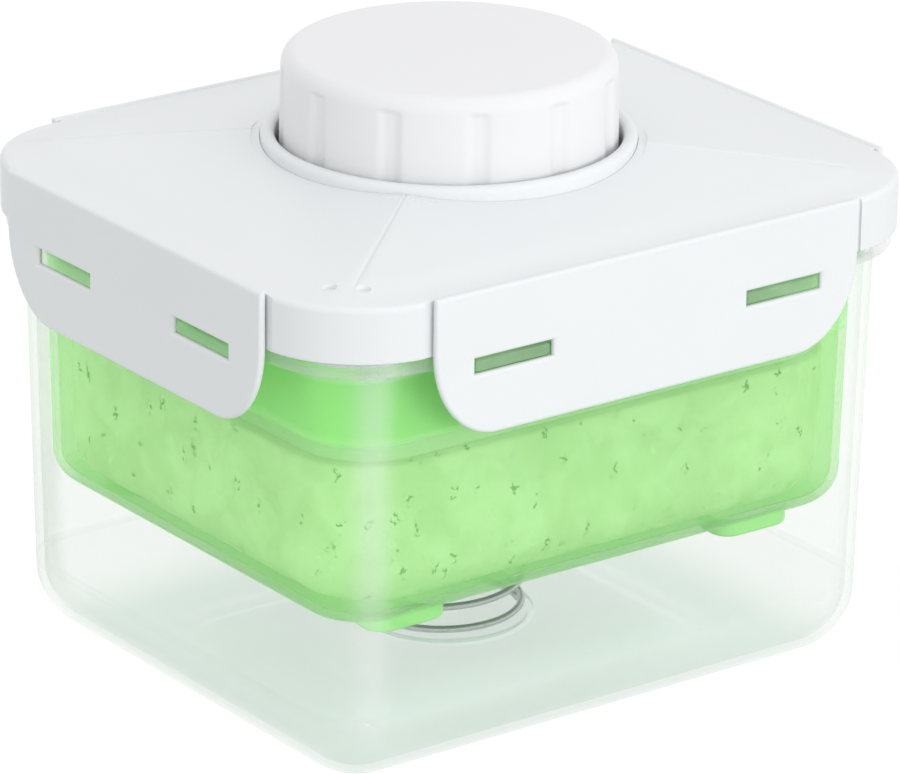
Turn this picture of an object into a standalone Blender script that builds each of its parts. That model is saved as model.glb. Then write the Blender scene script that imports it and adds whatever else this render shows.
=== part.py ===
# A box press for fresh cheese. A clear container holds a sprung basket, and a latched lid
# carries a screw knob that drives a press plate down into the basket.
# Metres, +Z up, origin at the middle of the underside. The long side lies along X.

import math

import bmesh
import bpy
from mathutils import Matrix, Vector

# Room that fitting pieces leave each other
seat_gap = 0.0003
running_gap = 0.0005
overrun = 0.0010
embed = 0.0005
least_radius = 0.0004
merge_distance = 0.00001
millimetre = 0.001
sharp_angle = math.radians(32)

# Container
base_length = 0.1262
base_width = 0.1082
container_height = 0.0920
wall_lean = 0.0014
container_wall = 0.0016
container_corner = 0.0135
container_fillet = 0.0134
panel_end_margin = 0.0027
panel_side_margin = 0.0057
panel_radius = 0.0100
panel_height = 0.0050
panel_slope = 0.0015
flange_drop = 0.0070
flange_thickness = 0.0026
flange_setback = 0.0010
lug_drop = 0.0015
lug_reach = 0.0010
spring_ring_height = 0.0010
spring_ring_wall = 0.0012

# Return spring
wire = 0.0014
spring_radius = 0.0156
spring_height = 0.0251
coil_gap = 0.0005
closed_turns = 1
active_turns = 3.5
spring_start = math.radians(-19)
points_per_turn = 10

# Basket
basket_gap = 0.0014
basket_wall = 0.0015
basket_drop = 0.0100
basket_corner = 0.0130
basket_fillet = 0.0064
foot_length = 0.0170
foot_width = 0.0100
foot_height = 0.0037
foot_corner = 0.0040
foot_inset = 0.0205
drain_width = 0.0022
drain_bridge = 0.0055
drain_end_margin = 0.0102
drain_side_margin = 0.0061
drain_columns = 5
drain_rows = 11
hub_ring_height = 0.0030
hub_ring_wall = 0.0015

# Lid
end_overhang = 0.0055
side_overhang = 0.0051
lid_corner = 0.0220
lid_wall = 0.0020
lid_edge_fillet = 0.0012
roof_rise = 0.0080
shoulder_inset = 0.0050
crease_inset = 0.0095
shoulder_share = 0.6
skirt_wall = 0.0018
plug_wall = 0.0022
plug_gap = 0.0006
channel_wall = 0.0014
channel_gap = 0.0005
channel_depth = 0.0058
hole_rim_wall = 0.0016
hole_ledge = 0.0018
dimple_radius = 0.0015
dimple_depth = 0.0008
dimple_near_inset = 0.0098
dimple_far_inset = 0.0141

# Well cup, with the threaded chimney
ring_width = 0.0025
ring_rise = 0.0061
ring_rounding = 0.0008
well_wall = 0.0016
well_floor_wall = 0.0020
plate_hang = 0.0128
stop_gap = 0.0008

# Lid seal
seal_thickness = 0.0012

# Latch flaps
flap_thickness = 0.0015
flap_edge = 0.0003
flap_recess = 0.0006
flap_rise = 0.0004
flap_height = 0.0274
flap_end_gap = 0.0010
flap_corner_width = 0.0140
flap_corner_height = 0.0170
front_flap_length = 0.0960
side_flap_length = 0.0820
slot_length = 0.0173
slot_height = 0.0030
front_slot_inset = 0.0173
side_slot_inset = 0.0188
notch_rise = 0.0004

# Knob
knob_radius = 0.0316
knob_gap = 0.0010
knob_stand = 0.0164
knob_depth = 0.0198
knob_fillet = 0.0029
knob_dome = 0.0006
dome_shares = (0.35, 0.7)
knob_wall = 0.0017
knob_crown = 0.0025
flutes = 12
flute_depth = 0.0007
flute_top_gap = 0.0002
flute_share = 0.27
flute_floor_share = 0.12
flute_turn = math.radians(3.5)
socket_wall = 0.0020
socket_depth = 0.0050
boss_radius = 0.0045
boss_depth = 0.0058

# Screw stem and its fixing screw
press_travel = 0.0140
stem_radius = 0.0100
stem_bore = 0.0060
stem_web = 0.0032
thread_gap = 0.0005
chimney_wall = 0.0020
stem_flange = 0.0030
flange_margin = 0.0005
foot_lip = 0.0035
foot_disc = 0.0024
screw_radius = 0.00175
screw_head_radius = 0.0040
screw_head = 0.0024
screw_bite = 0.0045

# Press plate and its collar
plate_gap = 0.0015
plate_corner = 0.0145
plate_floor = 0.0020
plate_rim_height = 0.0045
plate_rim_wall = 0.0020
plate_edge_fillet = 0.0010
plate_hub_wall = 0.0030
collar_thickness = 0.0022
rib_wall = 0.0016
rib_height = 0.0022

# How finely round shapes are drawn
corner_steps = 4
fillet_steps = 4
edge_steps = 2
plain_steps = 2
end_steps = 4
side_steps = 6
turned_steps = 28
cup_steps = 48
flap_corner_steps = 8
dimple_sides = 12

quarter_turn = math.pi / 2

# Levels and half sizes that several pieces share
base_half_length = base_length / 2
base_half_width = base_width / 2
flange_top = container_height - flange_drop
flange_bottom = flange_top - flange_thickness
rim_half_length = base_half_length + wall_lean
rim_half_width = base_half_width + wall_lean
lid_half_length = rim_half_length + end_overhang
lid_half_width = rim_half_width + side_overhang
lug_bottom = flange_bottom - lug_drop
basket_base = panel_height + seat_gap + spring_height + seat_gap
basket_floor = basket_base + basket_wall
basket_rim = container_height - basket_drop
lid_underside = container_height + seat_gap + seal_thickness + seat_gap
lid_edge = lid_underside + lid_wall
ring_top = lid_edge + ring_rise
knob_top = ring_top + knob_stand
knob_bottom = knob_top - knob_depth
knob_ceiling = knob_top - knob_crown
well_radius = knob_radius + knob_gap
well_floor = knob_bottom - press_travel - knob_gap
well_underside = well_floor - well_floor_wall
ring_radius = well_radius + ring_width
cup_radius = well_radius + well_wall
hub_top = well_underside - plate_hang
chimney_bottom = hub_top + stop_gap
chimney_bore = stem_radius + thread_gap
chimney_radius = chimney_bore + chimney_wall
stem_top = knob_ceiling - seat_gap
chimney_top = stem_top - stem_flange - press_travel - knob_gap
stem_flange_radius = chimney_radius + flange_margin
foot_radius = stem_radius + foot_lip
collar_bottom = hub_top - collar_thickness
foot_top = collar_bottom - seat_gap
foot_bottom = foot_top - foot_disc
plate_top_face = foot_bottom - seat_gap
plate_bottom = plate_top_face - plate_floor
hub_bore = foot_radius + running_gap
hub_radius = hub_bore + plate_hub_wall
coil_radius = spring_radius - wire / 2
spring_inner = coil_radius * math.cos(math.pi / points_per_turn) - wire / 2
web_top = stem_top - boss_depth
web_bottom = web_top - stem_web
screw_top = web_top + screw_bite
flap_top = lid_edge + flap_rise
slot_bottom = lug_bottom - seat_gap
front_slot_offset = front_flap_length / 2 - front_slot_inset
side_slot_offset = side_flap_length / 2 - side_slot_inset


# Collections, materials and objects


def clear_scene():
    for thing in list(bpy.data.objects):
        bpy.data.objects.remove(thing, do_unlink=True)


def new_collection(name):
    collection = bpy.data.collections.new(name)
    bpy.context.scene.collection.children.link(collection)
    return collection


def plastic(name, colour, roughness, metallic=0.0, alpha=1.0):
    material = bpy.data.materials.new(name)
    material.use_nodes = True
    surface = material.node_tree.nodes["Principled BSDF"]
    surface.inputs["Base Color"].default_value = (*colour, 1.0)
    surface.inputs["Roughness"].default_value = roughness
    surface.inputs["Metallic"].default_value = metallic
    surface.inputs["Alpha"].default_value = alpha
    return material


def add_object(name, data, collection, material=None):
    thing = bpy.data.objects.new(name, data)
    collection.objects.link(thing)
    if material:
        data.materials.append(material)
    return thing


def mesh_object(name, bm, collection, material=None):
    bmesh.ops.recalc_face_normals(bm, faces=bm.faces[:])
    mesh = bpy.data.meshes.new(name)
    bm.to_mesh(mesh)
    bm.free()
    mesh.shade_smooth()
    mesh.set_sharp_from_angle(angle=sharp_angle)
    return add_object(name, mesh, collection, material)


def add_cutter(name, bm):
    cutter = mesh_object(name, bm, cutters)
    cutter.hide_render = True
    cutter.display_type = "WIRE"
    return cutter


def combine(thing, tool, operation):
    modifier = thing.modifiers.new(tool.name, "BOOLEAN")
    modifier.operation = operation
    modifier.object = tool


# Outlines, sampled at the same polar angles on every level so that levels join one to one


def polar_angles(half_length, half_width, radius, end_steps, side_steps, lead=()):
    start = math.atan2(half_width - radius, half_length)
    diagonal = math.atan2(half_width, half_length)
    finish = math.atan2(half_width, half_length - radius)
    rising = [start + (diagonal - start) * step / corner_steps for step in range(corner_steps)]
    falling = [diagonal + (finish - diagonal) * step / corner_steps for step in range(corner_steps)]
    corner = [*lead, *rising, *falling, finish]
    end = [-corner[0] + 2 * corner[0] * step / end_steps for step in range(1, end_steps)]
    side_span = math.pi - 2 * finish
    side = [finish + side_span * step / side_steps for step in range(1, side_steps)]
    half_turn = end + corner + side + [math.pi - angle for angle in reversed(corner)]
    return half_turn + [angle + math.pi for angle in half_turn]


def reach(half_length, half_width, radius, angle):
    along = abs(math.cos(angle))
    across = abs(math.sin(angle))
    centre_x = half_length - radius
    centre_y = half_width - radius
    if across * half_length <= centre_y * along:
        return half_length / along
    if along * half_width <= centre_x * across:
        return half_width / across
    middle = along * centre_x + across * centre_y
    return middle + math.sqrt(middle**2 - centre_x**2 - centre_y**2 + radius**2)


# A level is a distance from the axis for each angle, and a height that may follow x and y


def rectangle(half_length, half_width, radius, height):
    corner = max(radius, least_radius)
    return (lambda angle: reach(half_length, half_width, corner, angle), height)


def circle(radius, height):
    return (lambda angle: radius, height)


def level_points(level, angles):
    distance, height = level
    points = []
    for angle in angles:
        x = distance(angle) * math.cos(angle)
        y = distance(angle) * math.sin(angle)
        z = height(x, y) if callable(height) else height
        points.append(Vector((x, y, z)))
    return points


def loft(levels, angles, closed=False):
    bm = bmesh.new()
    rings = [[bm.verts.new(point) for point in level_points(level, angles)] for level in levels]
    pairs = list(zip(rings, rings[1:]))
    if closed:
        pairs.append((rings[-1], rings[0]))
    for lower, upper in pairs:
        for index in range(len(angles)):
            following = (index + 1) % len(angles)
            bm.faces.new((lower[index], lower[following], upper[following], upper[index]))
    if not closed:
        bm.faces.new(rings[0])
        bm.faces.new(rings[-1])
    return bm


# Pairs of inset and height along an arc of a shell's section


def arc(centre_inset, centre_height, radius, start, finish, steps):
    pairs = []
    for step in range(steps + 1):
        angle = start + (finish - start) * step / steps
        inset = centre_inset + radius * math.cos(angle)
        pairs.append((inset, centre_height + radius * math.sin(angle)))
    return pairs


def is_upright(edge):
    first, second = (vertex.co for vertex in edge.verts)
    return (first.xy - second.xy).length < seat_gap


def add_box(bm, low, high, corner_radius=0.0):
    size = Vector(high) - Vector(low)
    middle = (Vector(high) + Vector(low)) / 2
    made = bmesh.ops.create_cube(bm, size=1.0)
    for vertex in made["verts"]:
        vertex.co = Vector(a * b for a, b in zip(vertex.co, size)) + middle
    if corner_radius:
        around = {edge for vertex in made["verts"] for edge in vertex.link_edges}
        upright = sorted(filter(is_upright, around), key=lambda edge: tuple(edge.verts[0].co))
        bmesh.ops.bevel(
            bm, geom=upright, offset=corner_radius, segments=fillet_steps, profile=0.5, affect="EDGES"
        )


# A ring turned round the axis from its closed section, or a solid one that starts on the axis


def turned(name, profile, collection, material=None, steps=turned_steps):
    bm = bmesh.new()
    points = [bm.verts.new((radius, 0, height)) for radius, height in profile]
    for first, second in zip(points, points[1:]):
        bm.edges.new((first, second))
    if profile[0][0] > 0:
        bm.edges.new((points[-1], points[0]))
    mesh = bpy.data.meshes.new(name)
    bm.to_mesh(mesh)
    bm.free()
    thing = add_object(name, mesh, collection, material)
    screw = thing.modifiers.new("Turn", "SCREW")
    screw.steps = steps
    screw.render_steps = steps
    screw.use_merge_vertices = True
    screw.merge_threshold = merge_distance
    return thing


def tube_section(outer, inner, top, bottom):
    return [(outer, top), (outer, bottom), (inner, bottom), (inner, top)]


def turned_tool(name, profile):
    tool = turned(name, profile, cutters)
    tool.hide_render = True
    tool.display_type = "WIRE"
    return tool


# Container: leaning walls, a foot ring, a raised floor panel, the flange and its lugs


def container_level(inset, height):
    lean = wall_lean * height / container_height
    half_length = base_half_length + lean - inset
    half_width = base_half_width + lean - inset
    return rectangle(half_length, half_width, container_corner - inset, height)


def panel_half_sizes(inset):
    half_length = base_half_length - container_fillet - panel_end_margin - inset
    half_width = base_half_width - container_fillet - panel_side_margin - inset
    return half_length, half_width


def panel_level(inset, height):
    return rectangle(*panel_half_sizes(inset), panel_radius - inset, height)


# The panel's corners start before the walls' corners do, seen from the middle


def panel_corner_starts():
    half_length, half_width = panel_half_sizes(0)
    panel_start = math.atan2(half_width - panel_radius, half_length)
    wall_start = math.atan2(base_half_width - container_corner, base_half_length)
    return [panel_start, (panel_start + wall_start) / 2]


def flange_level(height):
    half_length = lid_half_length - flange_setback
    half_width = lid_half_width - flange_setback
    return rectangle(half_length, half_width, lid_corner - flange_setback, height)


def make_container():
    walls = (base_half_length, base_half_width, container_corner)
    angles = polar_angles(*walls, plain_steps, plain_steps, panel_corner_starts())
    inner_fillet = container_fillet - container_wall
    centre = (container_fillet, container_fillet)
    inside_round = arc(*centre, inner_fillet, -quarter_turn, -2 * quarter_turn, fillet_steps)
    outside_round = arc(*centre, container_fillet, -2 * quarter_turn, -quarter_turn, fillet_steps)
    levels = [panel_level(panel_slope, panel_height), panel_level(0, container_wall)]
    levels += [container_level(inset, height) for inset, height in inside_round]
    levels += [
        container_level(container_wall, container_height),
        container_level(0, container_height),
        container_level(0, flange_top),
        flange_level(flange_top),
        flange_level(flange_bottom),
        container_level(0, flange_bottom),
    ]
    levels += [container_level(inset, height) for inset, height in outside_round]
    levels += [
        panel_level(container_wall, 0),
        panel_level(container_wall + panel_slope, panel_height - container_wall),
    ]
    material = plastic("clear_plastic", (0.86, 0.93, 0.90), 0.25, alpha=0.35)
    container = mesh_object("container", loft(levels, angles), press, material)
    combine(container, make_lugs(), "UNION")
    combine(container, make_spring_ring(), "UNION")


def make_lugs():
    bm = bmesh.new()
    half = slot_length / 2 - running_gap
    low, high = lug_bottom, flange_bottom + embed
    wall_x = rim_half_length - container_wall / 2 - wall_lean
    wall_y = rim_half_width - container_wall / 2 - wall_lean
    tip_x = flap_face(lid_half_length) + lug_reach
    tip_y = flap_face(lid_half_width) + lug_reach
    for side in (-1, 1):
        for end in (-1, 1):
            x = side * front_slot_offset
            near, far = sorted((end * wall_y, end * tip_y))
            add_box(bm, (x - half, near, low), (x + half, far, high))
            y = side * side_slot_offset
            near, far = sorted((end * wall_x, end * tip_x))
            add_box(bm, (near, y - half, low), (far, y + half, high))
    return add_cutter("container_lugs", bm)


def make_spring_ring():
    inner = spring_radius + running_gap
    outer = inner + spring_ring_wall
    return turned_tool(
        "container_spring_ring",
        tube_section(outer, inner, panel_height + spring_ring_height, panel_height - embed),
    )


# Return spring: one wire with closed ends and open turns between them


def spring_rise(turn):
    closed_pitch = wire + coil_gap
    closed_rise = closed_turns * closed_pitch
    open_rise = spring_height - wire - 2 * closed_rise
    if turn <= closed_turns:
        return closed_pitch * turn
    if turn <= closed_turns + active_turns:
        return closed_rise + open_rise * (turn - closed_turns) / active_turns
    return closed_rise + open_rise + closed_pitch * (turn - closed_turns - active_turns)


def spring_points():
    turns = 2 * closed_turns + active_turns
    count = round(turns * points_per_turn)
    bottom = panel_height + seat_gap + wire / 2
    points = []
    for index in range(count + 1):
        turn = turns * index / count
        angle = spring_start + 2 * math.pi * turn
        rise = bottom + spring_rise(turn)
        points.append(Vector((coil_radius * math.cos(angle), coil_radius * math.sin(angle), rise)))
    return points


def least_coil_gap(points):
    centres = []
    for first, second in zip(points, points[1:]):
        centres += [first, (first + second) / 2]
    distances = []
    for index, first in enumerate(centres):
        distances += [(first - second).length for second in centres[index + points_per_turn :]]
    return min(distances) - wire


def make_spring():
    points = spring_points()
    curve = bpy.data.curves.new("spring", "CURVE")
    curve.dimensions = "3D"
    curve.bevel_depth = wire / 2
    curve.bevel_resolution = 1
    curve.use_fill_caps = True
    spline = curve.splines.new("POLY")
    spline.points.add(len(points) - 1)
    for target, point in zip(spline.points, points):
        target.co = (*point, 1.0)
    print(f"spring: least gap between turns {least_coil_gap(points) / millimetre:.2f} mm")
    add_object("spring", curve, press, plastic("spring_steel", (0.55, 0.57, 0.58), 0.28, 1.0))


# Basket: a drained tray on four feet, with a ring that centres the spring


def basket_half_sizes(inset, height):
    inward = container_wall + basket_gap + inset - wall_lean * height / container_height
    return base_half_length - inward, base_half_width - inward


def basket_level(inset, height):
    return rectangle(*basket_half_sizes(inset, height), basket_corner - inset, height)


def make_basket():
    angles = polar_angles(base_half_length, base_half_width, basket_corner, plain_steps, plain_steps)
    inner_fillet = basket_fillet - basket_wall
    centre = (basket_fillet, basket_base + basket_fillet)
    inside_round = arc(*centre, inner_fillet, -quarter_turn, -2 * quarter_turn, fillet_steps)
    outside_round = arc(*centre, basket_fillet, -2 * quarter_turn, -quarter_turn, fillet_steps)
    levels = [basket_level(inset, height) for inset, height in inside_round]
    levels += [basket_level(basket_wall, basket_rim), basket_level(0, basket_rim)]
    levels += [basket_level(inset, height) for inset, height in outside_round]
    material = plastic("green_plastic", (0.25, 0.72, 0.16), 0.3, alpha=0.7)
    basket = mesh_object("basket", loft(levels, angles), press, material)
    combine(basket, make_feet(), "UNION")
    combine(basket, make_hub_ring(), "UNION")
    combine(basket, make_drains(), "DIFFERENCE")


def foot_centres():
    half_length, half_width = basket_half_sizes(0, basket_base)
    x = half_length - foot_inset
    y = half_width - basket_fillet - foot_width / 2
    return [(side * x, end * y) for side in (-1, 1) for end in (-1, 1)]


def make_feet():
    bm = bmesh.new()
    low, high = basket_base - foot_height, basket_base + embed
    for x, y in foot_centres():
        corner_low = (x - foot_length / 2, y - foot_width / 2, low)
        corner_high = (x + foot_length / 2, y + foot_width / 2, high)
        add_box(bm, corner_low, corner_high, foot_corner)
    return add_cutter("basket_feet", bm)


def make_hub_ring():
    outer = spring_inner - running_gap
    return turned_tool(
        "basket_hub_ring",
        tube_section(outer, outer - hub_ring_wall, basket_base + embed, basket_base - hub_ring_height),
    )


def drain_grid():
    flat_length, flat_width = basket_half_sizes(basket_fillet + running_gap, basket_base)
    along = 2 * (flat_length - drain_end_margin)
    across = 2 * (flat_width - drain_side_margin)
    length = (along - (drain_columns - 1) * drain_bridge) / drain_columns
    return length, length + drain_bridge, (across - drain_width) / (drain_rows - 1)


def drain_centres():
    length, pitch_along, pitch_across = drain_grid()
    columns = [(index - (drain_columns - 1) / 2) * pitch_along for index in range(drain_columns)]
    rows = [(index - (drain_rows - 1) / 2) * pitch_across for index in range(drain_rows)]
    return [(x, y) for x in columns for y in rows if drain_is_clear(x, y, length)]


def drain_is_clear(x, y, length):
    nearest = math.hypot(max(abs(x) - length / 2, 0), max(abs(y) - drain_width / 2, 0))
    if nearest < spring_radius + running_gap:
        return False
    for foot_x, foot_y in foot_centres():
        beside = abs(x - foot_x) > (length + foot_length) / 2 + running_gap
        before = abs(y - foot_y) > (drain_width + foot_width) / 2 + running_gap
        if not (beside or before):
            return False
    return True


def make_drains():
    bm = bmesh.new()
    length = drain_grid()[0]
    low, high = basket_base - overrun, basket_floor + overrun
    for x, y in drain_centres():
        corner_low = (x - length / 2, y - drain_width / 2, low)
        corner_high = (x + length / 2, y + drain_width / 2, high)
        add_box(bm, corner_low, corner_high)
    return add_cutter("basket_drains", bm)


# Lid: a four-sided roof with a ledged hole for the well cup, corner skirts and a plug wall


def roof(share, drop=0.0):
    def height(x, y):
        outward = max(abs(x) / lid_half_length, abs(y) / lid_half_width)
        return lid_edge + share * roof_rise * (1 - outward) - drop

    return height


def lid_level(inset, height):
    return rectangle(lid_half_length - inset, lid_half_width - inset, lid_corner - inset, height)


def rim_level(inset, height):
    return rectangle(rim_half_length - inset, rim_half_width - inset, container_corner - inset, height)


def make_lid():
    angles = polar_angles(lid_half_length, lid_half_width, lid_corner, end_steps, side_steps)
    skirt_bottom = flange_top + seat_gap
    edge_centre = (lid_edge_fillet, lid_edge - lid_edge_fillet)
    edge_round = arc(*edge_centre, lid_edge_fillet, 2 * quarter_turn, quarter_turn, edge_steps)
    levels = [lid_level(0, skirt_bottom)]
    levels += [lid_level(inset, height) for inset, height in edge_round]
    levels += [
        lid_level(shoulder_inset, roof(shoulder_share)),
        lid_level(crease_inset, roof(1.0)),
    ]
    levels += hole_levels()
    levels += underside_levels()
    levels += [lid_level(skirt_wall, lid_underside), lid_level(skirt_wall, skirt_bottom)]
    material = plastic("white_plastic", (0.90, 0.91, 0.92), 0.35)
    lid = mesh_object("lid", loft(levels, angles, closed=True), press, material)
    combine(lid, make_edge_notches(), "DIFFERENCE")
    combine(lid, make_skirt_notches(), "DIFFERENCE")
    combine(lid, make_dimples(), "DIFFERENCE")


def hole_levels():
    hole_radius = ring_radius + running_gap
    ledge_radius = cup_radius + running_gap
    ledge_bottom = lid_edge - hole_ledge
    rim_radius = hole_radius + hole_rim_wall
    return [
        circle(hole_radius, roof(1.0)),
        circle(hole_radius, lid_edge),
        circle(ledge_radius, lid_edge),
        circle(ledge_radius, ledge_bottom),
        circle(rim_radius, ledge_bottom),
        circle(rim_radius, roof(1.0, drop=lid_wall)),
    ]


def underside_levels():
    plug_outer = container_wall + plug_gap
    plug_inner = plug_outer + plug_wall
    plug_bottom = basket_rim + seat_gap
    channel_outer = -channel_gap - channel_wall
    channel_bottom = lid_underside - channel_depth
    return [
        rim_level(plug_inner, lid_underside),
        rim_level(plug_inner, plug_bottom),
        rim_level(plug_outer, plug_bottom),
        rim_level(plug_outer, lid_underside),
        rim_level(-channel_gap, lid_underside),
        rim_level(-channel_gap, channel_bottom),
        rim_level(channel_outer, channel_bottom),
        rim_level(channel_outer, lid_underside),
    ]


def make_notches(name, depth, top):
    bm = bmesh.new()
    low = flange_top - overrun
    half_front = front_flap_length / 2 + flap_end_gap
    half_side = side_flap_length / 2 + flap_end_gap
    for side in (-1, 1):
        near, far = sorted((side * (lid_half_width - depth), side * (lid_half_width + overrun)))
        add_box(bm, (-half_front, near, low), (half_front, far, top))
        near, far = sorted((side * (lid_half_length - depth), side * (lid_half_length + overrun)))
        add_box(bm, (near, -half_side, low), (far, half_side, top))
    return add_cutter(name, bm)


def make_edge_notches():
    return make_notches("lid_edge_notches", flap_recess, lid_edge + overrun)


def make_skirt_notches():
    free_space = side_overhang - skirt_wall - channel_gap - channel_wall
    return make_notches("lid_skirt_notches", skirt_wall + free_space / 2, lid_underside + notch_rise)


def make_dimples():
    bm = bmesh.new()
    surface = roof(1.0)
    insets = ((dimple_near_inset, dimple_far_inset), (dimple_far_inset, dimple_near_inset))
    for inset_x, inset_y in insets:
        x = inset_x - lid_half_length
        y = inset_y - lid_half_width
        low, high = surface(x, y) - dimple_depth, surface(x, y) + overrun
        bmesh.ops.create_cone(
            bm,
            cap_ends=True,
            segments=dimple_sides,
            radius1=dimple_radius,
            radius2=dimple_radius,
            depth=high - low,
            matrix=Matrix.Translation((x, y, (low + high) / 2)),
        )
    return add_cutter("lid_dimples", bm)


# Well cup: a raised ring round the knob's well, hung on the lid's ledge, and the threaded chimney


def make_well_cup():
    profile = [
        (ring_radius, ring_top - ring_rounding),
        (ring_radius, lid_edge + seat_gap),
        (cup_radius, lid_edge + seat_gap),
        (cup_radius, well_underside),
        (chimney_radius, well_underside),
        (chimney_radius, chimney_bottom),
        (chimney_bore, chimney_bottom),
        (chimney_bore, chimney_top),
        (chimney_radius, chimney_top),
        (chimney_radius, well_floor),
        (well_radius, well_floor),
        (well_radius, ring_top - ring_rounding),
        (well_radius + ring_rounding, ring_top),
        (ring_radius - ring_rounding, ring_top),
    ]
    turned("well_cup", profile, press, plastic("cup_plastic", (0.90, 0.91, 0.92), 0.35), cup_steps)


# Lid seal: a flat silicone frame in the channel above the container's rim


def make_seal():
    angles = polar_angles(rim_half_length, rim_half_width, container_corner, plain_steps, plain_steps)
    outer = seat_gap - channel_gap
    inner = container_wall + plug_gap - seat_gap
    low = container_height + seat_gap
    high = low + seal_thickness
    levels = [rim_level(outer, low), rim_level(outer, high), rim_level(inner, high), rim_level(inner, low)]
    material = plastic("seal_silicone", (0.80, 0.82, 0.82), 0.5)
    mesh_object("lid_seal", loft(levels, angles, closed=True), press, material)


# Latch flaps: slotted plates that hang from the lid's edge and hook under the lugs


def flap_face(lid_half):
    return lid_half - flap_recess + seat_gap


def flap_outline(length):
    half = length / 2
    points = [(half, 0)]
    for step in range(flap_corner_steps + 1):
        angle = quarter_turn * step / flap_corner_steps
        x = half - flap_corner_width * (1 - math.cos(angle))
        y = flap_corner_height * (1 - math.sin(angle)) - flap_height
        points.append((x, y))
    return points + [(-x, y) for x, y in reversed(points)]


def slot_outline(centre):
    low = slot_bottom - flap_top
    high = low + slot_height
    left, right = centre - slot_length / 2, centre + slot_length / 2
    return [(left, low), (right, low), (right, high), (left, high)]


def make_flap(name, length, slot_offset, turn, distance):
    pivot = bpy.data.objects.new(name + "_pivot", None)
    press.objects.link(pivot)
    outward = Vector((math.sin(turn), -math.cos(turn), 0))
    pivot.location = outward * distance + Vector((0, 0, flap_top))
    pivot.rotation_euler = (0, 0, turn)
    curve = bpy.data.curves.new(name, "CURVE")
    curve.dimensions = "2D"
    curve.fill_mode = "BOTH"
    curve.extrude = flap_thickness / 2 - flap_edge
    curve.bevel_depth = flap_edge
    curve.bevel_resolution = 0
    curve.offset = -flap_edge
    for outline in (flap_outline(length), slot_outline(-slot_offset), slot_outline(slot_offset)):
        spline = curve.splines.new("POLY")
        spline.points.add(len(outline) - 1)
        for target, (x, y) in zip(spline.points, outline):
            target.co = (x, y, 0, 1.0)
        spline.use_cyclic_u = True
    material = plastic(name + "_plastic", (0.90, 0.91, 0.92), 0.35)
    flap = add_object(name, curve, press, material)
    flap.parent = pivot
    flap.location = (0, -flap_thickness / 2, 0)
    flap.rotation_euler = (quarter_turn, 0, 0)


def make_flaps():
    front = flap_face(lid_half_width)
    side = flap_face(lid_half_length)
    make_flap("latch_flap_front", front_flap_length, front_slot_offset, 0, front)
    make_flap("latch_flap_back", front_flap_length, front_slot_offset, 2 * quarter_turn, front)
    make_flap("latch_flap_left", side_flap_length, side_slot_offset, -quarter_turn, side)
    make_flap("latch_flap_right", side_flap_length, side_slot_offset, quarter_turn, side)


# Knob: a fluted cup with a domed crown, a socket for the stem and a boss for its screw


def flute_angles():
    period = 2 * math.pi / flutes
    half_shares = (-flute_share, -flute_floor_share, flute_floor_share, flute_share, 1)
    steps = [index + share / 2 for index in range(flutes) for share in half_shares]
    return [flute_turn + period * step for step in steps]


def fluted_circle(radius, height):
    period = 2 * math.pi / flutes

    def distance(angle):
        turned_by = (angle - flute_turn + period / 2) % period - period / 2
        away = abs(turned_by) * 2 / period
        depth = (flute_share - away) / (flute_share - flute_floor_share)
        return radius - flute_depth * min(max(depth, 0), 1)

    return (distance, height)


def make_knob():
    crown_edge = knob_top - knob_dome
    crown_centre = (knob_radius - knob_fillet, crown_edge - knob_fillet)
    crown_round = arc(*crown_centre, knob_fillet, quarter_turn, 0, fillet_steps)
    flute_top = crown_edge - knob_fillet - flute_top_gap
    levels = [
        circle((knob_radius - knob_fillet) * share, knob_top - knob_dome * share**2)
        for share in dome_shares
    ]
    levels += [circle(radius, height) for radius, height in crown_round]
    levels += [
        circle(knob_radius, flute_top),
        fluted_circle(knob_radius, flute_top - flute_depth),
        fluted_circle(knob_radius, knob_bottom),
    ]
    levels += [circle(radius, height) for radius, height in knob_inside()]
    material = plastic("knob_plastic", (0.90, 0.91, 0.92), 0.3)
    mesh_object("knob", loft(levels, flute_angles()), press, material)


def knob_inside():
    inner = knob_radius - knob_wall
    socket = stem_flange_radius + seat_gap
    socket_bottom = knob_ceiling - socket_depth
    boss_bottom = web_top + seat_gap
    pilot = screw_radius + seat_gap
    return [
        (inner, knob_bottom),
        (inner, knob_ceiling),
        (socket + socket_wall, knob_ceiling),
        (socket + socket_wall, socket_bottom),
        (socket, socket_bottom),
        (socket, knob_ceiling),
        (boss_radius, knob_ceiling),
        (boss_radius, boss_bottom),
        (pilot, boss_bottom),
        (pilot, screw_top + seat_gap),
    ]


# Screw stem: a hollow threaded shaft between the knob's socket and the plate's hub


def make_stem():
    profile = [
        (stem_flange_radius, stem_top),
        (stem_flange_radius, stem_top - stem_flange),
        (stem_radius, stem_top - stem_flange),
        (stem_radius, foot_top),
        (foot_radius, foot_top),
        (foot_radius, foot_bottom),
        (stem_bore, foot_bottom),
        (stem_bore, web_bottom),
        (screw_radius + seat_gap, web_bottom),
        (screw_radius + seat_gap, web_top),
        (boss_radius + seat_gap, web_top),
        (boss_radius + seat_gap, stem_top),
    ]
    turned("screw_stem", profile, press, plastic("stem_plastic", (0.88, 0.89, 0.90), 0.35))


def make_knob_screw():
    head_top = web_bottom - seat_gap
    profile = [
        (0, screw_top),
        (screw_radius, screw_top),
        (screw_radius, head_top),
        (screw_head_radius, head_top),
        (screw_head_radius, head_top - screw_head),
        (0, head_top - screw_head),
    ]
    turned("knob_screw", profile, press, plastic("screw_steel", (0.60, 0.61, 0.62), 0.3, 1.0))


# Press plate: a ribbed tray with a hub that holds the stem's foot under a collar


def plate_half_sizes(inset):
    lowest = plate_bottom - press_travel
    return basket_half_sizes(basket_wall + plate_gap + inset, lowest)


def plate_level(inset, height):
    return rectangle(*plate_half_sizes(inset), plate_corner - inset, height)


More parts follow.
